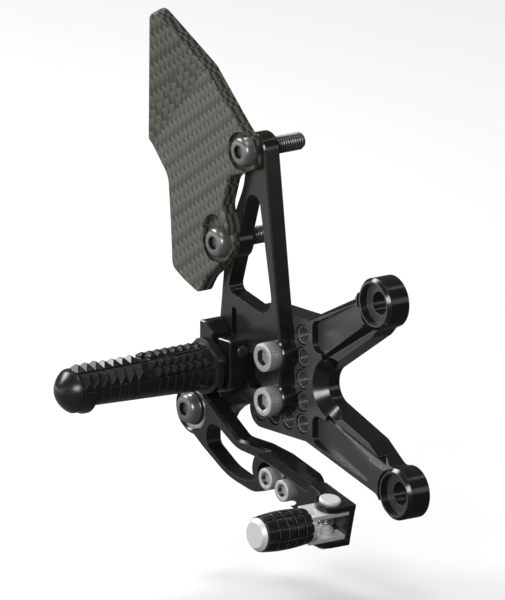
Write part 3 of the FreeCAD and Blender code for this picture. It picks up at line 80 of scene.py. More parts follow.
class Graph:
    """A node tree with short ways to add and link its nodes."""

    def __init__(self, tree: bpy.types.NodeTree) -> None:
        """Starts on the tree that gets the nodes."""
        self.tree = tree

    def node(self, kind: str, **settings: object) -> bpy.types.Node:
        """Adds a node.

        Args:
            kind: Blender's name of the node type.
            settings: Properties to set on the node.

        Returns:
            The new node.
        """
        made = self.tree.nodes.new(kind)
        for key, value in settings.items():
            setattr(made, key, value)
        return made

    def feed(self, target: bpy.types.NodeSocket, value: object) -> None:
        """Links a socket to target, or sets target's own value.

        Args:
            target: The input socket.
            value: An output socket or a constant, which is a colour where the input is one.
        """
        if isinstance(value, bpy.types.NodeSocket):
            self.tree.links.new(value, target)
        elif target.type == "RGBA":
            target.default_value = (*value, 1.0)
        else:
            target.default_value = value

    def fill(self, node: bpy.types.Node, **values: object) -> bpy.types.Node:
        """Feeds a node's inputs by name.

        Args:
            node: The node.
            values: What each input gets, with _ for a space in its name.

        Returns:
            The same node.
        """
        for key, value in values.items():
            self.feed(node.inputs[key.replace("_", " ")], value)
        return node

    def group(self, tree: bpy.types.NodeTree, **values: object) -> bpy.types.Node:
        """Adds a shared group with its inputs, as for fill, and gives its node."""
        return self.fill(self.node("ShaderNodeGroup", node_tree=tree), **values)

    def math(self, operation: str, *values: object, clamp: bool = False) -> bpy.types.NodeSocket:
        """Adds a Math node.

        Args:
            operation: The node's operation.
            values: Sockets or numbers for its inputs, in order.
            clamp: Whether the result is held between 0 and 1.

        Returns:
            The result socket.
        """
        made = self.node("ShaderNodeMath", operation=operation, use_clamp=clamp)
        for target, value in zip(made.inputs, values):
            self.feed(target, value)
        return made.outputs[0]

    def vector(self, operation: str, *values: object) -> bpy.types.Node:
        """Adds a Vector Math node.

        Args:
            operation: The node's operation.
            values: Sockets or vectors for its inputs, in order.

        Returns:
            The node, because its result may be a vector or a number.
        """
        made = self.node("ShaderNodeVectorMath", operation=operation)
        for target, value in zip(made.inputs, values):
            self.feed(target, value)
        return made

    def split(self, vector: object) -> Sequence[bpy.types.NodeSocket]:
        """Takes a vector apart.

        Args:
            vector: A vector socket.

        Returns:
            Its three number sockets.
        """
        made = self.node("ShaderNodeSeparateXYZ")
        self.feed(made.inputs[0], vector)
        return made.outputs

    def blend(self, share: object, first: object, second: object) -> bpy.types.NodeSocket:
        """Mixes two colours.

        Args:
            share: How much of the second is used, from 0 to 1.
            first: A colour, or its socket.
            second: A colour, or its socket.

        Returns:
            The mixed colour.
        """
        made = self.node("ShaderNodeMix", data_type="RGBA")
        self.feed(made.inputs[0], share)
        self.feed(made.inputs[6], first)
        self.feed(made.inputs[7], second)
        return made.outputs[2]

    def place(self) -> bpy.types.NodeSocket:
        """Gives the place on the object, in its own coordinates."""
        return self.node("ShaderNodeTexCoord").outputs["Object"]

    def facing(self) -> bpy.types.NodeSocket:
        """Gives 1 on a face square to the object's Y, 0 on a wall along it."""
        normal = self.node("ShaderNodeTexCoord").outputs["Normal"]
        return self.math("ABSOLUTE", self.split(normal)[1])

    def noise(self, scale: object, detail: float) -> bpy.types.NodeSocket:
        """Gives a noise from 0 to 1 that lies in the object's own coordinates."""
        made = self.node("ShaderNodeTexNoise")
        return self.fill(made, Vector=self.place(), Scale=scale, Detail=detail).outputs["Fac"]

    def bump(self, **values: object) -> bpy.types.NodeSocket:
        """Gives the normal of a Bump node with these inputs, as for fill."""
        return self.fill(self.node("ShaderNodeBump"), **values).outputs["Normal"]


class Effects:
    """The shader groups that the finishes share, each made once."""

    def __init__(self) -> None:
        """Makes all groups."""
        self.scuff_and_highlight_edge = self._scuff_and_highlight_edge()
        self.fine_grain = self._fine_grain()
        self.turned_marks = self._turned_marks()
        self.twill = self._twill()

    @staticmethod
    def _start(name: str, **inputs: float | tuple[float, float, float]) -> tuple[Graph, object]:
        """Starts a group.

        Args:
            name: The group's name.
            inputs: Each input's first value, with _ for a space in its name.

        Returns:
            A graph on the group, and the inputs as sockets by name.
        """
        graph = Graph(bpy.data.node_groups.new(name, "ShaderNodeTree"))
        for label, value in inputs.items():
            kind = "NodeSocketFloat" if isinstance(value, float) else "NodeSocketVector"
            label = label.replace("_", " ")
            socket = graph.tree.interface.new_socket(label, in_out="INPUT", socket_type=kind)
            socket.default_value = value
        return graph, graph.node("NodeGroupInput").outputs

    @staticmethod
    def _end(graph: Graph, **results: bpy.types.NodeSocket) -> bpy.types.NodeTree:
        """Makes a group's outputs.

        Args:
            graph: The graph on the group.
            results: What each output gives.

        Returns:
            The group.
        """
        for label, value in results.items():
            kind = "NodeSocketVector" if value.type == "VECTOR" else "NodeSocketFloat"
            graph.tree.interface.new_socket(label, in_out="OUTPUT", socket_type=kind)
        graph.fill(graph.node("NodeGroupOutput"), **results)
        return graph.tree

    def _scuff_and_highlight_edge(self) -> bpy.types.NodeTree:
        """Rounds the corners' normals and marks the edges, whose paler colour is wear and partly a painted
        highlight.

        Returns:
            The group.
        """
        graph, given = self._start(
            "Scuff and highlight edge",
            Radius=0.0004,
            Gain=2.0,
            Patches=420.0,
            Contrast=1.6,
            Lift=-0.25,
        )
        bevel = graph.fill(graph.node("ShaderNodeBevel", samples=6), Radius=given["Radius"])
        flat = graph.node("ShaderNodeNewGeometry").outputs["Normal"]
        # Painted highlight with wear: the mask grows where the rounded normal turns away from the flat one.
        same = graph.vector("DOT_PRODUCT", bevel.outputs[0], flat).outputs["Value"]
        turned = graph.math("MULTIPLY", graph.math("SUBTRACT", 1.0, same), given["Gain"], clamp=True)
        patches = graph.noise(given["Patches"], 3.0)
        patchy = graph.math("MULTIPLY_ADD", patches, given["Contrast"], given["Lift"], clamp=True)
        return self._end(graph, Mask=graph.math("MULTIPLY", turned, patchy), Normal=bevel.outputs[0])

    def _fine_grain(self) -> bpy.types.NodeTree:
        """Blasted grain of metal with faint wider clouds, and a mask of the faces square to Y, which get
        painted light.

        Returns:
            The group.
        """
        graph, given = self._start("Fine grain", Scale=5200.0, Clouds=60.0)
        steep = 12.0
        # Painted light: this mask marks the faces square to Y, which finishes paint paler in place of the
        # light they should catch.
        painted_face_light = graph.math("MULTIPLY_ADD", graph.facing(), steep, 1.0 - steep, clamp=True)
        grain = graph.noise(given["Scale"], 1.0)
        return self._end(graph, Height=grain, Cloud=graph.noise(given["Clouds"], 4.0), Ground=painted_face_light)

    def _turned_marks(self) -> bpy.types.NodeTree:
        """Fine rings left by turning round axes along Y, and a mask of painted shade on walls inside a
        thread's crest, in its roots and in sockets.

        Returns:
            The group.
        """
        graph, given = self._start(
            "Turned marks",
            Centre=(0.0, 0.0, 0.0),
            Grid=(1.0, 1.0, 1.0),
            Pitch=0.00004,
            High=0.004,
            Low=0.0035,
            Face_From=0.95,
        )
        high = graph.vector("MULTIPLY", given["Grid"], (0.5, 0.5, 0.5)).outputs[0]
        low = graph.vector("MULTIPLY", given["Grid"], (-0.5, -0.5, -0.5)).outputs[0]
        off = graph.vector("SUBTRACT", graph.place(), given["Centre"]).outputs[0]
        near = graph.vector("WRAP", off, high, low).outputs[0]
        across = graph.vector("MULTIPLY", near, (1.0, 0.0, 1.0)).outputs[0]
        reach = graph.vector("LENGTH", across).outputs["Value"]
        wave = graph.math("SINE", graph.math("DIVIDE", reach, given["Pitch"]))
        facing = graph.facing()
        flank = graph.math("LESS_THAN", facing, given["Face From"])
        span = graph.math("SUBTRACT", given["High"], given["Low"])
        # Painted shade: walls inside the crest radius are marked to be darkened, as shade in thread roots and
        # sockets.
        depth = graph.math("DIVIDE", graph.math("SUBTRACT", given["High"], reach), span, clamp=True)
        height = graph.math("MULTIPLY", wave, facing)
        return self._end(graph, Height=height, Depth=graph.math("MULTIPLY", depth, flank))

    def _twill(self) -> bpy.types.NodeTree:
        """Twill cloth: slanting rows of tows, each pale at its head, and a check of blocks on the cut walls.

        Returns:
            The group.
        """
        graph, given = self._start(
            "Twill weave",
            Column=0.0029,
            Repeat=0.0124,
            Rise=0.00193,
            Slant=0.0013,
            Crease_Point=(0.0, 0.0, 0.0),
            Crease_Side=(0.0, 0.0, 1.0),
            Band=0.009,
            Block_Width=0.0034,
            Block_Height=0.0042,
            Layer=0.00175,
            Fibres=40.0,
            Fibre_Lean=1.2,
            Wall_Under=0.3,
        )
        place = graph.place()
        x, y, z = graph.split(place)[:3]
        off = graph.vector("SUBTRACT", place, given["Crease Point"]).outputs[0]
        past = graph.vector("DOT_PRODUCT", off, given["Crease Side"]).outputs["Value"]
        mirror = graph.math("MULTIPLY", graph.math("GREATER_THAN", past, 0.0),
                            graph.math("LESS_THAN", past, given["Band"]))
        sense = graph.math("MULTIPLY_ADD", mirror, -2.0, 1.0)
        u = graph.math("MULTIPLY", graph.math("DIVIDE", x, given["Column"]), sense)
        drops = []
        for shift in (0.0, 0.5):
            along = graph.math("ADD", u, shift)
            column = graph.math("FLOOR", along)
            part = graph.math("SUBTRACT", along, column)
            level = graph.math("SUBTRACT", graph.math("MULTIPLY", column, given["Rise"]), z)
            level = graph.math("SUBTRACT", level, graph.math("MULTIPLY", part, given["Slant"]))
            turns = graph.math("ADD", graph.math("DIVIDE", level, given["Repeat"]), shift)
            drops.append(graph.math("FRACT", turns))
        drop = graph.math("MINIMUM", *drops)
        cell = 0.0
        for value, size in ((x, "Block Width"), (z, "Block Height"), (y, "Layer")):
            cell = graph.math("ADD", cell, graph.math("FLOOR", graph.math("DIVIDE", value, given[size])))
        leant = graph.math("MULTIPLY_ADD", drop, given["Fibre Lean"], u)
        tow = graph.math("MULTIPLY_ADD", drop, -2.0, 1.0, clamp=True)
        fibre = graph.math("SINE", graph.math("MULTIPLY", leant, given["Fibres"]))
        wall = graph.math("LESS_THAN", graph.facing(), given["Wall Under"])
        block = graph.math("FLOORED_MODULO", cell, 2.0)
        return self._end(graph, Tow=tow, Fibre=fibre, Wall=wall, Block=block)


def new_material(name: str) -> tuple[bpy.types.Material, Graph, bpy.types.Node]:
    """Makes a material with a Principled shader.

    Args:
        name: The material's name.

    Returns:
        The material, a graph on its tree and the shader.
    """
    material = bpy.data.materials.new(name)
    material.use_nodes = True
    shader = material.node_tree.nodes["Principled BSDF"]
    return material, Graph(material.node_tree), shader


def grey(level: float) -> Colour:
    """Gives a neutral colour, from 0 for black to 1 for white."""
    return (level, level, level)


@dataclass(frozen=True)
class Metal:
    """Machined metal with fine grain and worn, rounded edges whose paler colour is partly a painted
    highlight, with painted light on faces square to Y and painted shade in thread roots where asked.
    """

    name: str
    colour: Colour
    # Edge colour: wear, and partly a painted highlight.
    scuff_and_highlight: Colour
    metallic: float
    roughness: float
    specular: float = 0.5
    spread: float = 0.05
    relief: float = 0.05
    bump: float = 0.08
    edge_radius: float = 0.45
    scuff_and_highlight_gain: float = 1.6
    clouding: tuple[float, float] = (0.5, 0.75)
    centre: Place | None = None
    grid: float = 1000.0
    high: float = 4.0
    low: float = 3.5
    # Colour of the painted shade in thread roots and socket walls.
    deep: Colour = (0.02, 0.02, 0.02)
    # Colour of the painted light on faces square to Y; None leaves them unpainted.
    painted_face_light: Colour | None = None

    def material(self, effects: Effects) -> bpy.types.Material:
        """Makes the finish.

        Args:
            effects: The shared groups.

        Returns:
            The material.
        """
        material, graph, shader = new_material(self.name)
        edge = graph.group(effects.scuff_and_highlight_edge, Radius=self.edge_radius * MM, Gain=self.scuff_and_highlight_gain)
        grain = graph.group(effects.fine_grain)
        cloud = grain.outputs["Cloud"]
        clouded = graph.math("MULTIPLY_ADD", cloud, *self.clouding)
        # Painted highlight with wear: the edge mask paints the rounded corners paler.
        scuff_and_highlight_share = graph.math("MULTIPLY", edge.outputs["Mask"], clouded)
        rough = graph.math("MULTIPLY_ADD", cloud, self.spread, self.roughness - self.spread / 2)
        colour = self.colour
        # Painted light: faces square to Y take the paler colour.
        if self.painted_face_light is not None:
            colour = graph.blend(grain.outputs["Ground"], colour, self.painted_face_light)
        colour = graph.blend(scuff_and_highlight_share, colour, self.scuff_and_highlight)
        height = grain.outputs["Height"]
        if self.centre is not None:
            axis = (self.centre[0] * MM, 0.0, self.centre[1] * MM)
            rings = graph.group(effects.turned_marks, Centre=axis, Grid=(self.grid * MM,) * 3,
                                High=self.high * MM, Low=self.low * MM)
            height = graph.math("ADD", height, rings.outputs["Height"])
            # Painted shade: thread roots and socket walls take the dark colour.
            colour = graph.blend(rings.outputs["Depth"], colour, self.deep)
        bent = graph.bump(Strength=self.bump, Distance=self.relief * MM, Height=height,
                          Normal=edge.outputs["Normal"])
        graph.fill(shader, Base_Color=colour, Metallic=self.metallic, Specular_IOR_Level=self.specular,
                   Roughness=rough, Normal=bent)
        return material


@dataclass(frozen=True)
class Rubber:
    """Dark moulded seal rubber."""

    name: str = "seal rubber"
    colour: Colour = (0.012, 0.012, 0.013)
    roughness: float = 0.6
    spread: float = 0.2
    grain: float = 2600.0
    relief: float = 0.08
    bump: float = 0.3

    def material(self, effects: Effects) -> bpy.types.Material:
        """Makes the finish.

        Args:
            effects: The shared groups.

        Returns:
            The material.
        """
        material, graph, shader = new_material(self.name)
        grain = graph.group(effects.fine_grain, Scale=self.grain).outputs
        rough = graph.math("MULTIPLY_ADD", grain["Cloud"], self.spread, self.roughness - self.spread / 2)
        bent = graph.bump(Strength=self.bump, Distance=self.relief * MM, Height=grain["Height"])
        graph.fill(shader, Base_Color=self.colour, Roughness=rough, Normal=bent)
        return material


@dataclass(frozen=True)
class Carbon:
    """Carbon fibre laminate in clear lacquer, its cloth mirrored in a band behind the crease."""

    name: str = "carbon twill"
    light: Colour = (0.135, 0.135, 0.112)
    dark: Colour = (0.047, 0.047, 0.037)
    block: Colour = (0.034, 0.034, 0.026)
    cut: Colour = (0.11, 0.11, 0.092)
    # Colour of the painted highlight along the guard's cut edges.
    rim: Colour = (0.5, 0.5, 0.48)
    rim_highlight_share: float = 0.5
    edge_radius: float = 0.4
    scuff_and_highlight_gain: float = 1.2
    fibre: float = 0.06
    roughness: float = 0.42
    gloss: float = 0.35
    wall_gloss: float = 0.15
    lacquer: float = 0.15
    lacquer_roughness: float = 0.12
    relief: float = 0.15
    bump: float = 0.3
    crease_low: Place = (-135.6, 50.2)
    crease_high: Place = (-107.7, 81.0)
    level: float = -26.2

    def material(self, effects: Effects) -> bpy.types.Material:
        """Makes the finish.

        Args:
            effects: The shared groups.

        Returns:
            The material.
        """
        material, graph, shader = new_material(self.name)
        low, high = (Vector((x, self.level, z)) * MM for x, z in (self.crease_low, self.crease_high))
        along = high - low
        side = Vector((-along.z, 0.0, along.x)).normalized()
        weave = graph.group(effects.twill, Crease_Point=low, Crease_Side=side).outputs
        edge = graph.group(effects.scuff_and_highlight_edge, Radius=self.edge_radius * MM, Gain=self.scuff_and_highlight_gain).outputs
        share = graph.math("MULTIPLY_ADD", weave["Fibre"], self.fibre, weave["Tow"], clamp=True)
        cloth = graph.blend(share, self.dark, self.light)
        cut = graph.blend(weave["Block"], self.block, self.cut)
        face = graph.blend(weave["Wall"], cloth, cut)
        # Painted highlight: the edge mask paints the guard's rims pale.
        scuff_and_highlight = graph.math("MULTIPLY", edge["Mask"], self.rim_highlight_share)
        flat = graph.math("SUBTRACT", 1.0, weave["Wall"])
        gloss = graph.math("MULTIPLY_ADD", flat, self.gloss - self.wall_gloss, self.wall_gloss)
        lacquer = graph.math("MULTIPLY", flat, self.lacquer)
        bent = graph.bump(Strength=self.bump, Distance=self.relief * MM, Height=weave["Tow"],
                          Normal=edge["Normal"])
        graph.fill(shader, Base_Color=graph.blend(scuff_and_highlight, face, self.rim), Roughness=self.roughness,
                   Specular_IOR_Level=gloss, Coat_Weight=lacquer, Coat_Roughness=self.lacquer_roughness,
                   Normal=bent)
        return material


# Each finish's third colour is its edge colour: wear, and partly a painted highlight.
BLACK = Metal("black anodised", (0.011, 0.011, 0.010), grey(0.25), 0.0, 0.2, 0.6, edge_radius=0.3)
# The face colours given for the plate and adapter are painted light on their faces square to Y, paler on the
# adapter, whose faces catch less light.
PLATE_BLACK = replace(BLACK, name="black anodised plate", painted_face_light=(0.018, 0.018, 0.017))
ADAPTER_BLACK = replace(BLACK, name="black anodised adapter", painted_face_light=(0.07, 0.07, 0.069))
PEG_BLACK = replace(BLACK, name="black anodised peg", scuff_and_highlight=grey(0.3), roughness=0.27,
                    specular=0.45, scuff_and_highlight_gain=2.2)
SLEEVE_BLACK = replace(BLACK, name="black anodised sleeve", scuff_and_highlight=grey(0.36), roughness=0.25,
                       specular=0.5, edge_radius=0.5, scuff_and_highlight_gain=3.0)
SILVER = Metal("silver anodised", (0.76, 0.76, 0.74), grey(0.85), 0.25, 0.45)
STEEL = Metal("bright steel", (0.55, 0.54, 0.52), grey(0.7), 1.0, 0.3)


class Finishes:
    """The materials, each made when first asked for."""

    def __init__(self, effects: Effects) -> None:
        """Starts with the shared groups and no material made."""
        self.effects = effects
        self.made: dict[str, bpy.types.Material] = {}

    def get(self, finish: Metal | Rubber | Carbon) -> bpy.types.Material:
        """Gives the material of a finish.

        Args:
            finish: The finish.

        Returns:
            Its material.
        """
        if finish.name not in self.made:
            self.made[finish.name] = finish.material(self.effects)
        return self.made[finish.name]


def put(name: str, data: bpy.types.ID) -> bpy.types.Object:
    """Makes an object and puts it in the scene.

    Args:
        name: Its name.
        data: Its mesh, light or camera.

    Returns:
        The object.
    """
    made = bpy.data.objects.new(name, data)
    bpy.context.scene.collection.objects.link(made)
    return made


def dress(node: str, material: bpy.types.Material) -> None:
    """Gives a CAD node its material.

    Args:
        node: The node's name.
        material: The material.
    """
    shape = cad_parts[node]
    for slot in shape.material_slots:
        slot.material = material
    log.info("dressed %s in %s", node, material.name)


class Draft:
    """Points and faces of one mesh, in millimetres in the CAD's frame."""

    def __init__(self) -> None:
        """Starts empty."""
        self.points: list[tuple[float, float, float]] = []
        self.faces: list[tuple[int, ...]] = []

    def patch(self, points: Sequence[tuple[float, float, float]], faces: Sequence[tuple[int, ...]]) -> None:
        """Adds a patch whose faces count from its own first point.

        Args:
            points: The patch's points.
            faces: Its faces.
        """
        base = len(self.points)
        self.points.extend(points)
        self.faces.extend(tuple(base + index for index in face) for face in faces)

    def lathe(self, place: Place, rings: Sequence[Ring], steps: int, capped: bool = True) -> None:
        """Adds a skin round an axis along Y.

        Args:
            place: The axis, as x and z.
            rings: For each ring its y and its radius, or a function of angle and y.
            steps: Points in a ring.
            capped: Whether both ends are closed.
        """
        points = []
        for y, radius in rings:
            for step in range(steps):
                angle = math.tau * step / steps
                reach = radius(angle, y) if callable(radius) else radius
                points.append((place[0] + reach * math.cos(angle), y, place[1] + reach * math.sin(angle)))
        faces = []
        for row in range(len(rings) - 1):
            for step in range(steps):
                near = row * steps + step
                far = row * steps + (step + 1) % steps
                faces.append((near, far, far + steps, near + steps))
        if capped:
            last = (len(rings) - 1) * steps
            faces.append(tuple(range(steps)))
            faces.append(tuple(range(last, last + steps)))
        self.patch(points, faces)

    def build(self, name: str, body: str, slot: Slot, material: bpy.types.Material, *nodes: str,
              sharp: float = 28.0) -> bpy.types.Object:
        """Makes the object, which rides a body and may stand for CAD nodes.

        Args:
            name: The piece's name.
            body: The CAD body that it rides on.
            slot: The record's slot for its finish; not used.
            material: Its material.
            nodes: The CAD nodes that it replaces.
            sharp: Edges that turn more than this many degrees stay sharp.

        Returns:
            The object.
        """
        mesh = bpy.data.meshes.new(name)
        mesh.from_pydata([tuple(value * MM for value in point) for point in self.points], [], self.faces)
        work = bmesh.new()
        work.from_mesh(mesh)
        bmesh.ops.recalc_face_normals(work, faces=work.faces)
        work.to_mesh(mesh)
        work.free()
        mesh.shade_smooth()
        mesh.set_sharp_from_angle(angle=math.radians(sharp))
        mesh.materials.append(material)
        shape = put(name, mesh)
        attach(shape, body)
        if nodes:
            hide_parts(*nodes)
        log.info("made %s with %d faces", name, len(self.faces))
        return shape


def hexagon(across_flats: float) -> Radius:
    """Radius of a hexagon whose corners point up and down.

    Args:
        across_flats: Its width over two flats.

    Returns:
        The function of angle.
    """
    def reach(angle: float, _: float) -> float:
        """Distance from the centre to the hexagon's side at an angle."""
        turn = (math.degrees(angle) + 30.0) % 60.0 - 30.0
        return across_flats / 2 / math.cos(math.radians(turn))
    return reach


def thread(crest: float, root: float, pitch: float, ends: tuple[float, float]) -> Radius:
    """Radius of a helical thread that runs out at both ends.

    Args:
        crest: Radius at the crests.
        root: Radius at the roots.
        pitch: The thread's pitch.
        ends: Where along Y the thread ends.

    Returns:
        The function of angle and y.
    """
    steep = 1.3

    def reach(angle: float, y: float) -> float:
        """Radius of the thread.

        Args:
            angle: The angle round its axis.
            y: The level.

        Returns:
            The radius.
        """
        phase = (y / pitch + angle / math.tau) % 1.0
        flank = min(1.0, max(0.0, abs(2.0 * phase - 1.0) * steep - (steep - 1.0) / 2))
        fade = min(1.0, max(0.0, min(y - min(ends), max(ends) - y) / pitch))
        return crest + (root - crest) * flank * fade
    return reach


def thread_rings(start: float, end: float, radius: Radius, pitch: float, per_turn: int = 5) -> list[Ring]:
    """Gives the rings of a thread from start to end, some to each turn."""
    count = max(2, round((end - start) / pitch * per_turn))
    return [(start + (end - start) * index / count, radius) for index in range(count + 1)]


@dataclass
class Screw:
    """What both kinds of screw share: the hexagon socket and the threaded shank."""

    name: str
    node: str
    body: str
    place: Place
    seat: float
    length: float
    hex_size: float = 5.0
    hex_depth: float = 1.9
    mouth: tuple[float, float] = (0.3, 0.15)
    shank_r: float = 3.98
    root_r: float = 3.4
    pitch: float = 1.25
    chamfer: float = 0.8

    def socket(self, top: float) -> list[Ring]:
        """Rings of the socket, from its bottom to its chamfered mouth.

        Args:
            top: The level of the head's top.

        Returns:
            The rings.
        """
        sides = hexagon(self.hex_size)
        corner = self.hex_size / 2 / math.cos(math.radians(30.0))
        return [(top + self.hex_depth, sides), (top + self.mouth[0], sides), (top, corner + self.mouth[1])]

    def shank(self, plain: float) -> list[Ring]:
        """Rings of the shank, from the seat to the chamfered end.

        Args:
            plain: How much of it has no thread.

        Returns:
            The rings.
        """
        start = self.seat + plain
        end = self.seat + self.length
        spiral = thread(self.shank_r, self.root_r, self.pitch, (start, end + self.pitch))
        rings: list[Ring] = [(self.seat, self.shank_r)]
        rings += thread_rings(start, end - self.chamfer, spiral, self.pitch)
        rings.append((end, self.shank_r - self.chamfer))
        return rings


@dataclass
class ButtonBolt(Screw):
    """Button head screw with a hexagon socket."""

    head_r: float = 7.0
    head_h: float = 4.8
    flat_r: float = 4.4
    brow: float = 0.08
    side: float = 0.5
    lip: float = 0.12
    under: float = 0.15
    plain: float = 12.0
    shoulder_r: float = 0.0
    shoulder_l: float = 0.0
    steps: int = 72

    def build(self, finishes: Finishes) -> None:
        """Makes the screw.

        Args:
            finishes: The materials.
        """
        crown = self.seat - self.shoulder_l
        top = crown - self.head_h
        rings = self.socket(top) + [(top, self.flat_r)]
        bulge = 10
        start = self.flat_r + self.lip
        for index in range(1, bulge + 1):
            turn = math.radians(90.0) * index / bulge
            level = top + self.brow + (self.head_h - self.side) * (1.0 - math.cos(turn))
            rings.append((level, start + (self.head_r - start) * math.sin(turn)))
        rings += [(crown - self.lip, self.head_r), (crown, self.head_r - self.under)]
        if self.shoulder_l:
            rings += [(crown, self.shoulder_r), (self.seat, self.shoulder_r)]
        draft = Draft()
        draft.lathe(self.place, rings + self.shank(self.plain), self.steps)
        # The centre brings painted shade on the thread roots and socket walls; the edge colour is wear and
        # partly a painted highlight.
        finish = Metal(f"dark steel {self.name}", (0.2, 0.2, 0.19), grey(0.45), 0.6, 0.3,
                       edge_radius=0.25, centre=self.place)
        draft.build(self.name, self.body, Slot.STEEL, finishes.get(finish), self.node)


@dataclass
class CapBolt(Screw):
    """Socket head screw with a ribbed head."""

    hex_size: float = 6.0
    hex_depth: float = 2.4
    mouth: tuple[float, float] = (0.35, 0.2)
    head_r: float = 6.5
    head_h: float = 6.5
    edge: float = 0.6
    bend: float = 0.3
    ribs: int = 36
    rib_depth: float = 0.16
    rib_ends: tuple[float, float] = (0.3, 0.5)
    under: float = 0.2
    plain: float = 2.0

    def build(self, finishes: Finishes) -> None:
        """Makes the screw.

        Args:
            finishes: The materials.
        """
        top = self.seat - self.head_h
        side = self.head_r - self.rib_depth
        bend = self.edge * self.bend

        def ribbed(angle: float, _: float) -> float:
            """Radius of the head's ribbed side."""
            return self.head_r - self.rib_depth * (0.5 + 0.5 * math.cos(angle * self.ribs))

        rings = self.socket(top) + [(top, self.head_r - self.edge), (top + bend, self.head_r - bend)]
        rings += [(top + self.edge, side), (top + self.edge + self.rib_ends[0], ribbed)]
        rings += [(self.seat - self.rib_ends[1], ribbed), (self.seat, side - self.under)]
        draft = Draft()
        draft.lathe(self.place, rings + self.shank(self.plain), self.ribs * 4)
        # Painted light: the paler face colour lights the head's flat top; the centre brings painted shade on
        # the thread roots and socket walls.
        finish = Metal(f"turned steel {self.name}", (0.48, 0.47, 0.45), (0.62, 0.62, 0.61), 0.5, 0.3,
                       edge_radius=0.2, centre=self.place, high=self.shank_r, low=self.root_r,
                       painted_face_light=(0.72, 0.71, 0.69))
        draft.build(self.name, self.body, Slot.STEEL, finishes.get(finish), self.node, sharp=40.0)


@dataclass
class FrameAdapter:
    """Adapter plate and the threads of its free grid holes."""

    first: Place = (-80.4, -23.8)
    pitch: float = 10.0
    columns: int = 4
    rows: int = 5
    used: tuple[tuple[int, int], ...] = ((2, 1), (2, 3))
    hole_r: float = 4.03
    crest_r: float = 3.3
    thread_pitch: float = 1.25
    front: float = -10.6
    back: float = -0.6
    lip: float = 0.12
    clear: float = 0.2
    root_in: float = 0.1
    # Depth inside the hole's wall from which the painted shade in the thread roots is full.
    dark_in: float = 0.2
    steps: int = 28

    def build(self, finishes: Finishes) -> None:
        """Dresses the plate and cuts the threads.

        Args:
            finishes: The materials.
        """
        dress("frame_adapter_plate", finishes.get(ADAPTER_BLACK))
        draft = Draft()
        spiral = thread(self.crest_r, self.hole_r - self.root_in, self.thread_pitch, (self.front, self.back))
        start, end = self.front + self.clear, self.back - self.clear
        rings: list[Ring] = [(self.front, self.hole_r), (self.front, self.hole_r - self.lip)]
        rings += thread_rings(start, end, spiral, self.thread_pitch)
        rings += [(self.back, self.hole_r - self.lip), (self.back, self.hole_r)]
        for column in range(self.columns):
            for row in range(self.rows):
                if (column, row) in self.used:
                    continue
                place = (self.first[0] + self.pitch * column, self.first[1] - self.pitch * row)
                draft.lathe(place, rings + rings[:1], self.steps, capped=False)
        # Painted shade: the thread roots take the near-black colour, the crests stay paler.
        cut = Metal("black anodised threads", grey(0.13), grey(0.3), 0.0, 0.25, edge_radius=0.1,
                    centre=self.first, grid=self.pitch, high=self.crest_r, low=self.hole_r - self.dark_in,
                    deep=grey(0.006))
        draft.build("grid_threads", "frame", Slot.BLACK, finishes.get(cut), sharp=60.0)


@dataclass
class SidePlate:
    """Main plate with its two ribbed screws."""

    bolts: tuple[tuple[str, Place], ...] = (("upper", (-60.4, -33.8)), ("lower", (-60.4, -53.8)))
    length: float = 18.0

    def build(self, finishes: Finishes) -> None:
        """Dresses the plate and makes its screws.

        Args:
            finishes: The materials.
        """
        dress("main_plate", finishes.get(PLATE_BLACK))
        for label, place in self.bolts:
            CapBolt(f"plate_screw_{label}", f"plate_bolt_{label}", "frame", place, PLATE_FRONT,
                    self.length).build(finishes)


@dataclass
class HeelGuard:
    """Carbon guard on two button head screws."""

    bolts: tuple[tuple[str, Place], ...] = (("upper", (-75.3, 56.0)), ("lower", (-93.5, 11.4)))
    seat: float = -22.7
    length: float = 30.0

    def build(self, finishes: Finishes) -> None:
        """Dresses the guard and makes its screws.

        Args:
            finishes: The materials.
        """
        dress("heel_guard", finishes.get(Carbon()))
        for label, place in self.bolts:
            ButtonBolt(f"guard_screw_{label}", f"heel_guard_bolt_{label}", "frame", place, self.seat,
                       self.length).build(finishes)


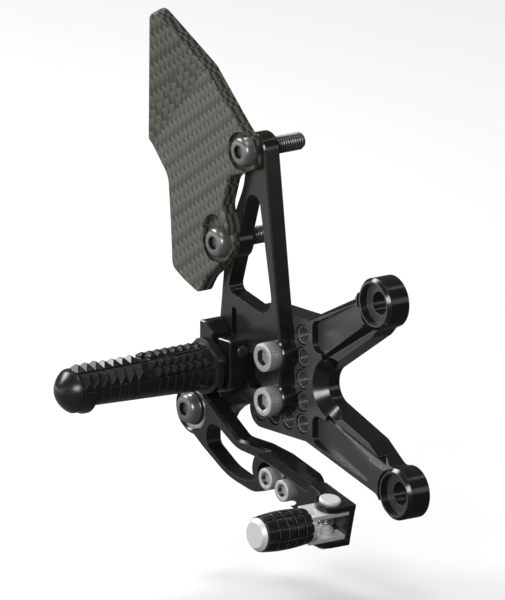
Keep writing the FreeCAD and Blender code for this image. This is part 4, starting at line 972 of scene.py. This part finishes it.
@dataclass
class Footpeg:
    """Clamp block, and the peg with its rings, strips of teeth, end flange and plug."""

    collar_back: float = -33.0
    collar_front: float = -37.0
    core_end: float = -108.2
    back: float = -19.5
    spigot_r: float = 6.0
    groove_r: float = 3.7
    groove_half: float = 2.9
    groove_y: float = -22.4
    face: float = -30.0
    neck_r: float = 9.6
    collar_r: float = 12.4
    collar_edge: tuple[float, float] = (0.3, 1.5)
    flat_reach: float = 11.4
    flat_degs: tuple[float, ...] = (-5.0, 50.0, 130.0, 185.0)
    core_in: float = 10.6
    core_out: float = 8.2
    taper: float = 60.0
    first_ring: float = 0.6
    end_edge: float = 0.4
    ring_at: float = 34.6
    ring_l: float = 2.2
    strip_degs: tuple[float, ...] = (35.0, 90.0, 145.0)
    strip_w: float = 7.6
    sink: float = 0.9
    bite: float = 0.3
    least_slope: float = 0.05
    seam_degs: tuple[float, ...] = (11.0, 62.5, 117.5, 169.0)
    seam_half: float = 3.0
    seam_depth: float = 1.4
    tip_r: float = 10.8
    end_tip_r: float = 11.3
    fine_foot: float = 9.7
    fine_crest: tuple[float, float] = (0.14, 0.22)
    fine_cut: tuple[float, float] = (0.5, 0.35)
    coarse_foot: float = 8.6
    coarse_crest: tuple[float, float] = (0.12, 0.3)
    coarse_cut: tuple[float, float] = (0.75, 0.5)
    ring_cut: tuple[float, float] = (-0.5, 0.9)
    cut_floor: float = 0.3
    inner_start: float = 1.2
    inner_pitch: float = 4.3
    inner_count: int = 7
    outer_pitch: float = 4.9
    outer_count: int = 7
    on_flange: int = 3
    flange_at: float = 5.6
    flange_r: float = 10.85
    flange_end_r: float = 9.5
    flange_clear: float = 1.0
    flange_share: float = 0.92
    flange_slope: float = 1.5
    plug_r: float = 9.9
    plug_back_r: float = 8.8
    plug_tooth: tuple[float, float] = (3.4, 6.8)
    plug_tooth_h: float = 0.25
    plug_tooth_in: float = 0.6
    plug_crest: tuple[float, float] = (0.3, 0.3)
    stud_r: float = 3.9
    stud_l: float = 9.8
    stud_gap: float = 0.02
    rim: float = 1.3
    dome: float = 6.5
    tip: float = 3.0
    shoulder: tuple[float, float] = (7.9, 3.7)
    nose: tuple[tuple[float, float], ...] = ((0.4, 1.8), (0.6, 0.05))
    steps: int = 240
    plug_steps: int = 96

    def core(self, distance: float) -> float:
        """Gives the core's radius at a distance from the collar."""
        return self.core_in + (self.core_out - self.core_in) * min(distance, self.taper) / self.taper

    @staticmethod
    def near(angle: float, directions: Sequence[float]) -> float:
        """Gives the degrees from an angle round the peg, in radians, to the nearest of some directions."""
        return min(abs((math.degrees(angle) - middle + 180.0) % 360.0 - 180.0) for middle in directions)

    def flats(self, angle: float, _: float) -> float:
        """Gives the radius of the collar with its flats at an angle."""
        aside = min(self.near(angle, self.flat_degs), 60.0)
        return min(self.collar_r, self.flat_reach / math.cos(math.radians(aside)))

    def floor(self, angle: float, radius: float) -> float:
        """Gives the radius of a strip's flat floor at an angle, from the core's radius there."""
        aside = min(self.near(angle, self.strip_degs), 60.0)
        return (radius - self.sink) / math.cos(math.radians(aside))

    def seamed(self, drop: float) -> Radius:
        """Radius of the core with its lengthwise seams.

        Args:
            drop: How far a groove round the core lies under its surface.

        Returns:
            The function of angle and y.
        """
        def reach(angle: float, y: float) -> float:
            """Radius of the seamed core.

            Args:
                angle: The angle round the peg.
                y: The level.

            Returns:
                The radius.
            """
            radius = self.core(self.collar_front - y)
            deep = max(0.0, 1.0 - self.near(angle, self.seam_degs) / self.seam_half)
            return min(radius - max(drop, self.seam_depth * deep), self.floor(angle, radius))
        return reach

    def flange(self, radius: float) -> Radius:
        """Radius of the end flange, cut away under the strips.

        Args:
            radius: The flange's radius between the strips.

        Returns:
            The function of angle and y.
        """
        wide = (self.strip_w + self.flange_clear) / 2 / self.core_out
        half = math.degrees(math.asin(wide)) * self.flange_share

        def reach(angle: float, _: float) -> float:
            """Radius of the cut flange.

            Args:
                angle: The angle round the peg.

            Returns:
                The radius.
            """
            aside = self.near(angle, self.strip_degs)
            low = min(self.core_out, self.floor(angle, self.core_out))
            return low + (radius - low) * min(1.0, max(0.0, (aside - half) / self.flange_slope))
        return reach

    def pyramid(self, draft: Draft, middle: tuple[float, float], root: Sequence[tuple[float, float]],
                degrees: float, levels: tuple[float, float], crest: tuple[float, float]) -> None:
        """Adds one tooth to a strip.

        Args:
            draft: The peg's mesh.
            middle: Its crest's distance from the collar and place aside of the strip's middle.
            root: Its root's corners, as steps along and across from its middle.
            degrees: The strip's direction round the peg.
            levels: How far its slopes' foot and its crest lie from the peg's axis.
            crest: The crest's shares of the root, along and across.
        """
        turn = math.radians(degrees)
        out = (math.cos(turn), math.sin(turn))
        over = (-out[1], out[0])
        points = []
        bottom = self.core(middle[0]) - self.sink - self.bite
        foot = max(levels[0], bottom + self.least_slope)
        for reach, shares in ((bottom, (1.0, 1.0)), (foot, (1.0, 1.0)), (levels[1], crest)):
            for along, across in root:
                sideways = middle[1] + across * shares[1]
                points.append((PEG_AXIS[0] + out[0] * reach + over[0] * sideways,
                               self.collar_front - middle[0] - along * shares[0],
                               PEG_AXIS[1] + out[1] * reach + over[1] * sideways))
        count = len(root)
        faces = [tuple(range(count)), tuple(range(2 * count, 3 * count))]
        for low in (0, count):
            for index in range(count):
                after = (index + 1) % count
                faces.append((low + index, low + after, low + after + count, low + index + count))
        draft.patch(points, faces)

    def teeth(self, draft: Draft, degrees: float) -> None:
        """Cuts a strip's teeth: two staggered rows near the collar, one coarse row further out.

        Args:
            draft: The peg's mesh.
            degrees: The strip's direction round the peg.
        """
        fine = self.rectangle(self.inner_pitch, self.strip_w / 2)
        levels = (self.fine_foot, self.tip_r)
        for index in range(self.inner_count):
            for side, shift in ((-1.0, 0.5), (1.0, 1.0)):
                middle = (self.inner_start + self.inner_pitch * (index + shift), side * self.strip_w / 4)
                self.pyramid(draft, middle, fine, degrees, levels, self.fine_crest)
        coarse = self.rectangle(self.outer_pitch, self.strip_w)
        for index in range(self.outer_count):
            tip_r = self.end_tip_r if index >= self.outer_count - self.on_flange else self.tip_r
            middle = (self.ring_at + self.ring_l + self.outer_pitch * (index + 0.5), 0.0)
            self.pyramid(draft, middle, coarse, degrees, (self.coarse_foot, tip_r), self.coarse_crest)

    @staticmethod
    def rectangle(along: float, across: float) -> list[tuple[float, float]]:
        """Gives the corners of a tooth's root from its length along the peg and its width."""
        half, side = along / 2, across / 2
        return [(-half, -side), (half, -side), (half, side), (-half, side)]

    def body_rings(self) -> list[Ring]:
        """Rings of the turned body.

        Returns:
            The rings from the plate to the peg's end.
        """
        neck = self.groove_y - self.groove_half
        rings: list[Ring] = [(self.back, self.groove_r), (neck, self.groove_r), (neck, self.spigot_r)]
        rings += [(self.face, self.spigot_r), (self.face, self.neck_r), (self.collar_back, self.neck_r)]
        deep, wide = self.collar_edge
        rings += [(self.collar_back, self.flats), (self.collar_front + deep, self.flats)]
        rings += [(self.collar_front, self.collar_r - wide), (self.collar_front, self.core(0.0))]
        fine, coarse = range(self.inner_count), range(1, self.outer_count - 1)
        start = self.ring_at + self.ring_l
        cuts = [(self.inner_start + self.inner_pitch * (index + 0.75), *self.fine_cut) for index in fine]
        cuts += [(start + self.outer_pitch * index, *self.coarse_cut) for index in coarse]
        cuts.append((self.ring_at + self.ring_l / 2, *self.ring_cut))
        rings.append((self.collar_front - self.first_ring, self.core(self.first_ring)))
        for distance, depth, half in sorted(cuts):
            y = self.collar_front - distance
            flat = half * self.cut_floor
            rings += [(y + half, self.seamed(0.0)), (y + flat, self.seamed(depth))]
            rings += [(y - flat, self.seamed(depth)), (y - half, self.seamed(0.0))]
        back = self.core_end + self.flange_at
        rings += [(back, self.core_out), (back, self.flange(self.flange_r))]
        rings += [(back - self.flange_at / 3, self.flange(self.flange_r))]
        rings.append((self.core_end, self.flange(self.flange_end_r)))
        rings.append((self.core_end, self.core_out - self.end_edge))
        return rings

    def build(self, finishes: Finishes) -> None:
        """Dresses the block and makes the peg.

        Args:
            finishes: The materials.
        """
        peg_black = finishes.get(PEG_BLACK)
        dress("peg_mount", finishes.get(BLACK))
        dress("peg_mount_screws", finishes.get(STEEL))
        dress("peg_clamp_screw", finishes.get(STEEL))
        draft = Draft()
        draft.lathe(PEG_AXIS, self.body_rings(), self.steps)
        for degrees in self.strip_degs:
            self.teeth(draft, degrees)
        draft.build("peg_body", "frame", Slot.BLACK, peg_black, "footpeg_body", sharp=20.0)
        self.build_plug(peg_black)

    def build_plug(self, material: bpy.types.Material) -> None:
        """Makes the rounded end plug, with the last tooth of the upper strip on it.

        Args:
            material: Its material.
        """
        face = self.core_end
        rim = face - self.rim
        rings: list[Ring] = [(face + self.stud_l, self.stud_r), (face + self.stud_gap, self.stud_r)]
        rings.append((face, self.plug_back_r))
        rings += [(face - self.rim / 2, self.plug_back_r), (rim, self.plug_r)]
        bulge = 16
        for index in range(1, bulge + 1):
            share = index / bulge
            weights = (1.0 - share) ** 2, 2.0 * share * (1.0 - share), share ** 2
            reach = weights[0] * self.plug_r + weights[1] * self.shoulder[0] + weights[2] * self.tip
            rings.append((rim - weights[1] * self.shoulder[1] - weights[2] * self.dome, reach))
        rings += [(rim - self.dome - past, radius) for past, radius in self.nose]
        draft = Draft()
        draft.lathe(PEG_AXIS, rings, self.plug_steps)
        middle = (self.collar_front - rim + self.plug_tooth_in, 0.0)
        levels = (0.0, self.plug_r + self.plug_tooth_h)
        root = self.rectangle(*self.plug_tooth)
        self.pyramid(draft, middle, root, 90.0, levels, self.plug_crest)
        draft.build("peg_plug", "frame", Slot.BLACK, material, "footpeg_end_plug", sharp=26.0)


@dataclass
class BrakeLever:
    """Lever with its ball bearing and pivot screw."""

    bearing_front: float = -30.7
    bolt_length: float = 18.9

    def build(self, finishes: Finishes) -> None:
        """Dresses the lever and bearing, and makes the pivot screw.

        Args:
            finishes: The materials.
        """
        dress("brake_lever", finishes.get(BLACK))
        # The centre also paints shade on any wall within 4 mm of the pivot axis.
        steel = Metal("bearing steel", (0.62, 0.6, 0.57), grey(0.7), 1.0, 0.25, centre=LEVER_PIVOT)
        for part in ("outer_ring", "inner_ring", "balls"):
            dress(f"lever_bearing_{part}", finishes.get(steel))
        dress("lever_bearing_seals", finishes.get(Rubber()))
        dress("lever_spacer", finishes.get(SILVER))
        ButtonBolt("pivot_screw", "lever_pivot_bolt", "frame", LEVER_PIVOT, self.bearing_front,
                   self.bolt_length, shoulder_r=5.4, shoulder_l=0.4).build(finishes)


@dataclass
class ToeArm:
    """Slotted arm with its two screws and washers."""

    first: Place = (-36.3, -81.0)
    degrees: float = -14.7
    pitch: float = 12.0
    seat: float = -35.5
    washer: float = 1.2
    length: float = 12.0

    def build(self, finishes: Finishes) -> None:
        """Dresses the arm and washers, and makes the screws.

        Args:
            finishes: The materials.
        """
        dress("toe_arm", finishes.get(BLACK))
        turn = math.radians(self.degrees)
        for index, label in enumerate(("rear", "front")):
            dress(f"toe_arm_washer_{label}", finishes.get(STEEL))
            step = self.pitch * index
            place = (self.first[0] + step * math.cos(turn), self.first[1] + step * math.sin(turn))
            CapBolt(f"toe_screw_{label}", f"toe_arm_bolt_{label}", "brake_lever", place,
                    self.seat - self.washer, self.length, head_r=5.0, head_h=6.0, hex_size=5.0, hex_depth=2.2,
                    shank_r=2.98, root_r=2.5, pitch=1.0, edge=0.5, ribs=30).build(finishes)


@dataclass
class ToePeg:
    """Folding toe peg on its pin."""

    def build(self, finishes: Finishes) -> None:
        """Dresses the toe peg's nodes.

        Args:
            finishes: The materials.
        """
        looks = {"knuckle": SILVER, "end_cap": SILVER, "hinge_pin": SILVER, "sleeve": SLEEVE_BLACK,
                 "hinge_clip": STEEL, "spring": STEEL}
        for part, finish in looks.items():
            dress(f"toe_peg_{part}", finishes.get(finish))


@dataclass(frozen=True)
class Softbox:
    """Rectangular light, turned to the object's middle."""

    name: str
    place: tuple[float, float, float]
    wide: float
    high: float
    watts: float


@dataclass
class Studio:
    """Floor, lights and the camera of the photo."""

    azimuth: float = 52.3
    elevation: float = 14.2
    centre: tuple[float, float, float] = (-0.0617, -0.030, -0.0074)
    height: float = 0.262
    travel: float = 0.0275
    half_floor: float = 4.0
    floor_tone: float = 0.62
    floor_glow: float = 0.31
    mirrored_tone: float = 0.06
    mirrored_glow: float = 0.52
    glow_side: tuple[float, float, float] = (-0.79, -0.61, 0.0)
    glow_gain: float = 1.8
    sky_tone: float = 0.5
    sky_strength: float = 0.16
    lights: tuple[Softbox, ...] = (
        Softbox("key", (-1.09, -0.52, 0.98), 0.9, 0.45, 17.0),
        Softbox("back top", (-0.75, 0.3, 1.35), 0.4, 0.4, 12.0),
        Softbox("gloss", (0.42, -0.3, 1.35), 0.6, 0.6, 4.0),
        Softbox("front", (-0.3, -1.5, 0.1), 1.0, 1.0, 4.5),
        Softbox("front fill", (-1.2, -0.95, 0.03), 1.5, 0.2, 2.5),
        Softbox("streak low", (1.16, 0.87, 0.24), 0.06, 0.4, 0.3),
        Softbox("streak high", (0.4, 0.88, 1.12), 0.03, 0.4, 0.3),
        Softbox("eye", (0.95, -1.1, 0.45), 0.5, 0.5, 12.0),
    )

    def floor(self) -> None:
        """Lays a pale floor under the lowest place that the lever reaches.

        Reflections see it dark, with a glow towards one side, so the black parts stay black.
        """
        low = CAD_BOX[0][2] - self.travel
        half = self.half_floor
        mesh = bpy.data.meshes.new("floor")
        corners = [(-half, -half, low), (half, -half, low), (half, half, low), (-half, half, low)]
        mesh.from_pydata(corners, [], [(0, 1, 2, 3)])
        material, graph, shader = new_material("pale floor")
        seen = graph.node("ShaderNodeLightPath").outputs["Is Camera Ray"]
        unseen = graph.math("SUBTRACT", 1.0, seen)
        reach = graph.vector("DOT_PRODUCT", graph.place(), self.glow_side).outputs["Value"]
        glow = graph.math("MULTIPLY", reach, self.glow_gain, clamp=True)
        lit = graph.math("MULTIPLY", graph.math("MULTIPLY", unseen, glow), self.mirrored_glow)
        strength = graph.math("MULTIPLY_ADD", seen, self.floor_glow, lit)
        tone = graph.blend(seen, grey(self.mirrored_tone), grey(self.floor_tone))
        graph.fill(shader, Base_Color=tone, Roughness=0.9, Specular_IOR_Level=0.0,
                   Emission_Color=grey(1.0), Emission_Strength=strength)
        mesh.materials.append(material)
        shape = put("floor", mesh)

    def light(self) -> None:
        """Hangs the soft lights, each turned to the object's middle."""
        middle = Vector(self.centre)
        for light in self.lights:
            lamp = bpy.data.lights.new(light.name, "AREA")
            lamp.shape = "RECTANGLE"
            lamp.size = light.wide
            lamp.size_y = light.high
            lamp.energy = light.watts
            holder = put(light.name, lamp)
            holder.location = middle + Vector(light.place)
            holder.rotation_euler = (-Vector(light.place)).to_track_quat("-Z", "Y").to_euler()
        world = bpy.data.worlds.new("studio")
        world.use_nodes = True
        sky = world.node_tree.nodes["Background"]
        Graph(world.node_tree).fill(sky, Color=grey(self.sky_tone), Strength=self.sky_strength)
        bpy.context.scene.world = world

    def camera(self) -> None:
        """Puts the camera where the photo's was, without perspective."""
        turn = math.radians(self.azimuth)
        rise = math.radians(self.elevation)
        back = Vector((math.sin(turn) * math.cos(rise), -math.cos(turn) * math.cos(rise), math.sin(rise)))
        view = bpy.data.cameras.new("camera")
        view.type = "ORTHO"
        view.ortho_scale = self.height
        holder = put("camera", view)
        holder.location = Vector(self.centre) + back
        holder.rotation_euler = (-back).to_track_quat("-Z", "Y").to_euler()
        bpy.context.scene.camera = holder
        bpy.context.scene.view_settings.view_transform = "Standard"

    def build(self) -> None:
        """Sets the whole studio up."""
        self.floor()
        self.light()
        self.camera()


def main() -> None:
    """Builds every sub-assembly in order."""
    logging.basicConfig(level=logging.INFO, format="%(name)s: %(message)s")
    finishes = Finishes(Effects())
    for assembly in (FrameAdapter(), SidePlate(), HeelGuard(), Footpeg(), BrakeLever(), ToeArm(), ToePeg()):
        assembly.build(finishes)
        log.info("finished %s", type(assembly).__name__)
    Studio().build()


if __name__ == "__main__":
    main()
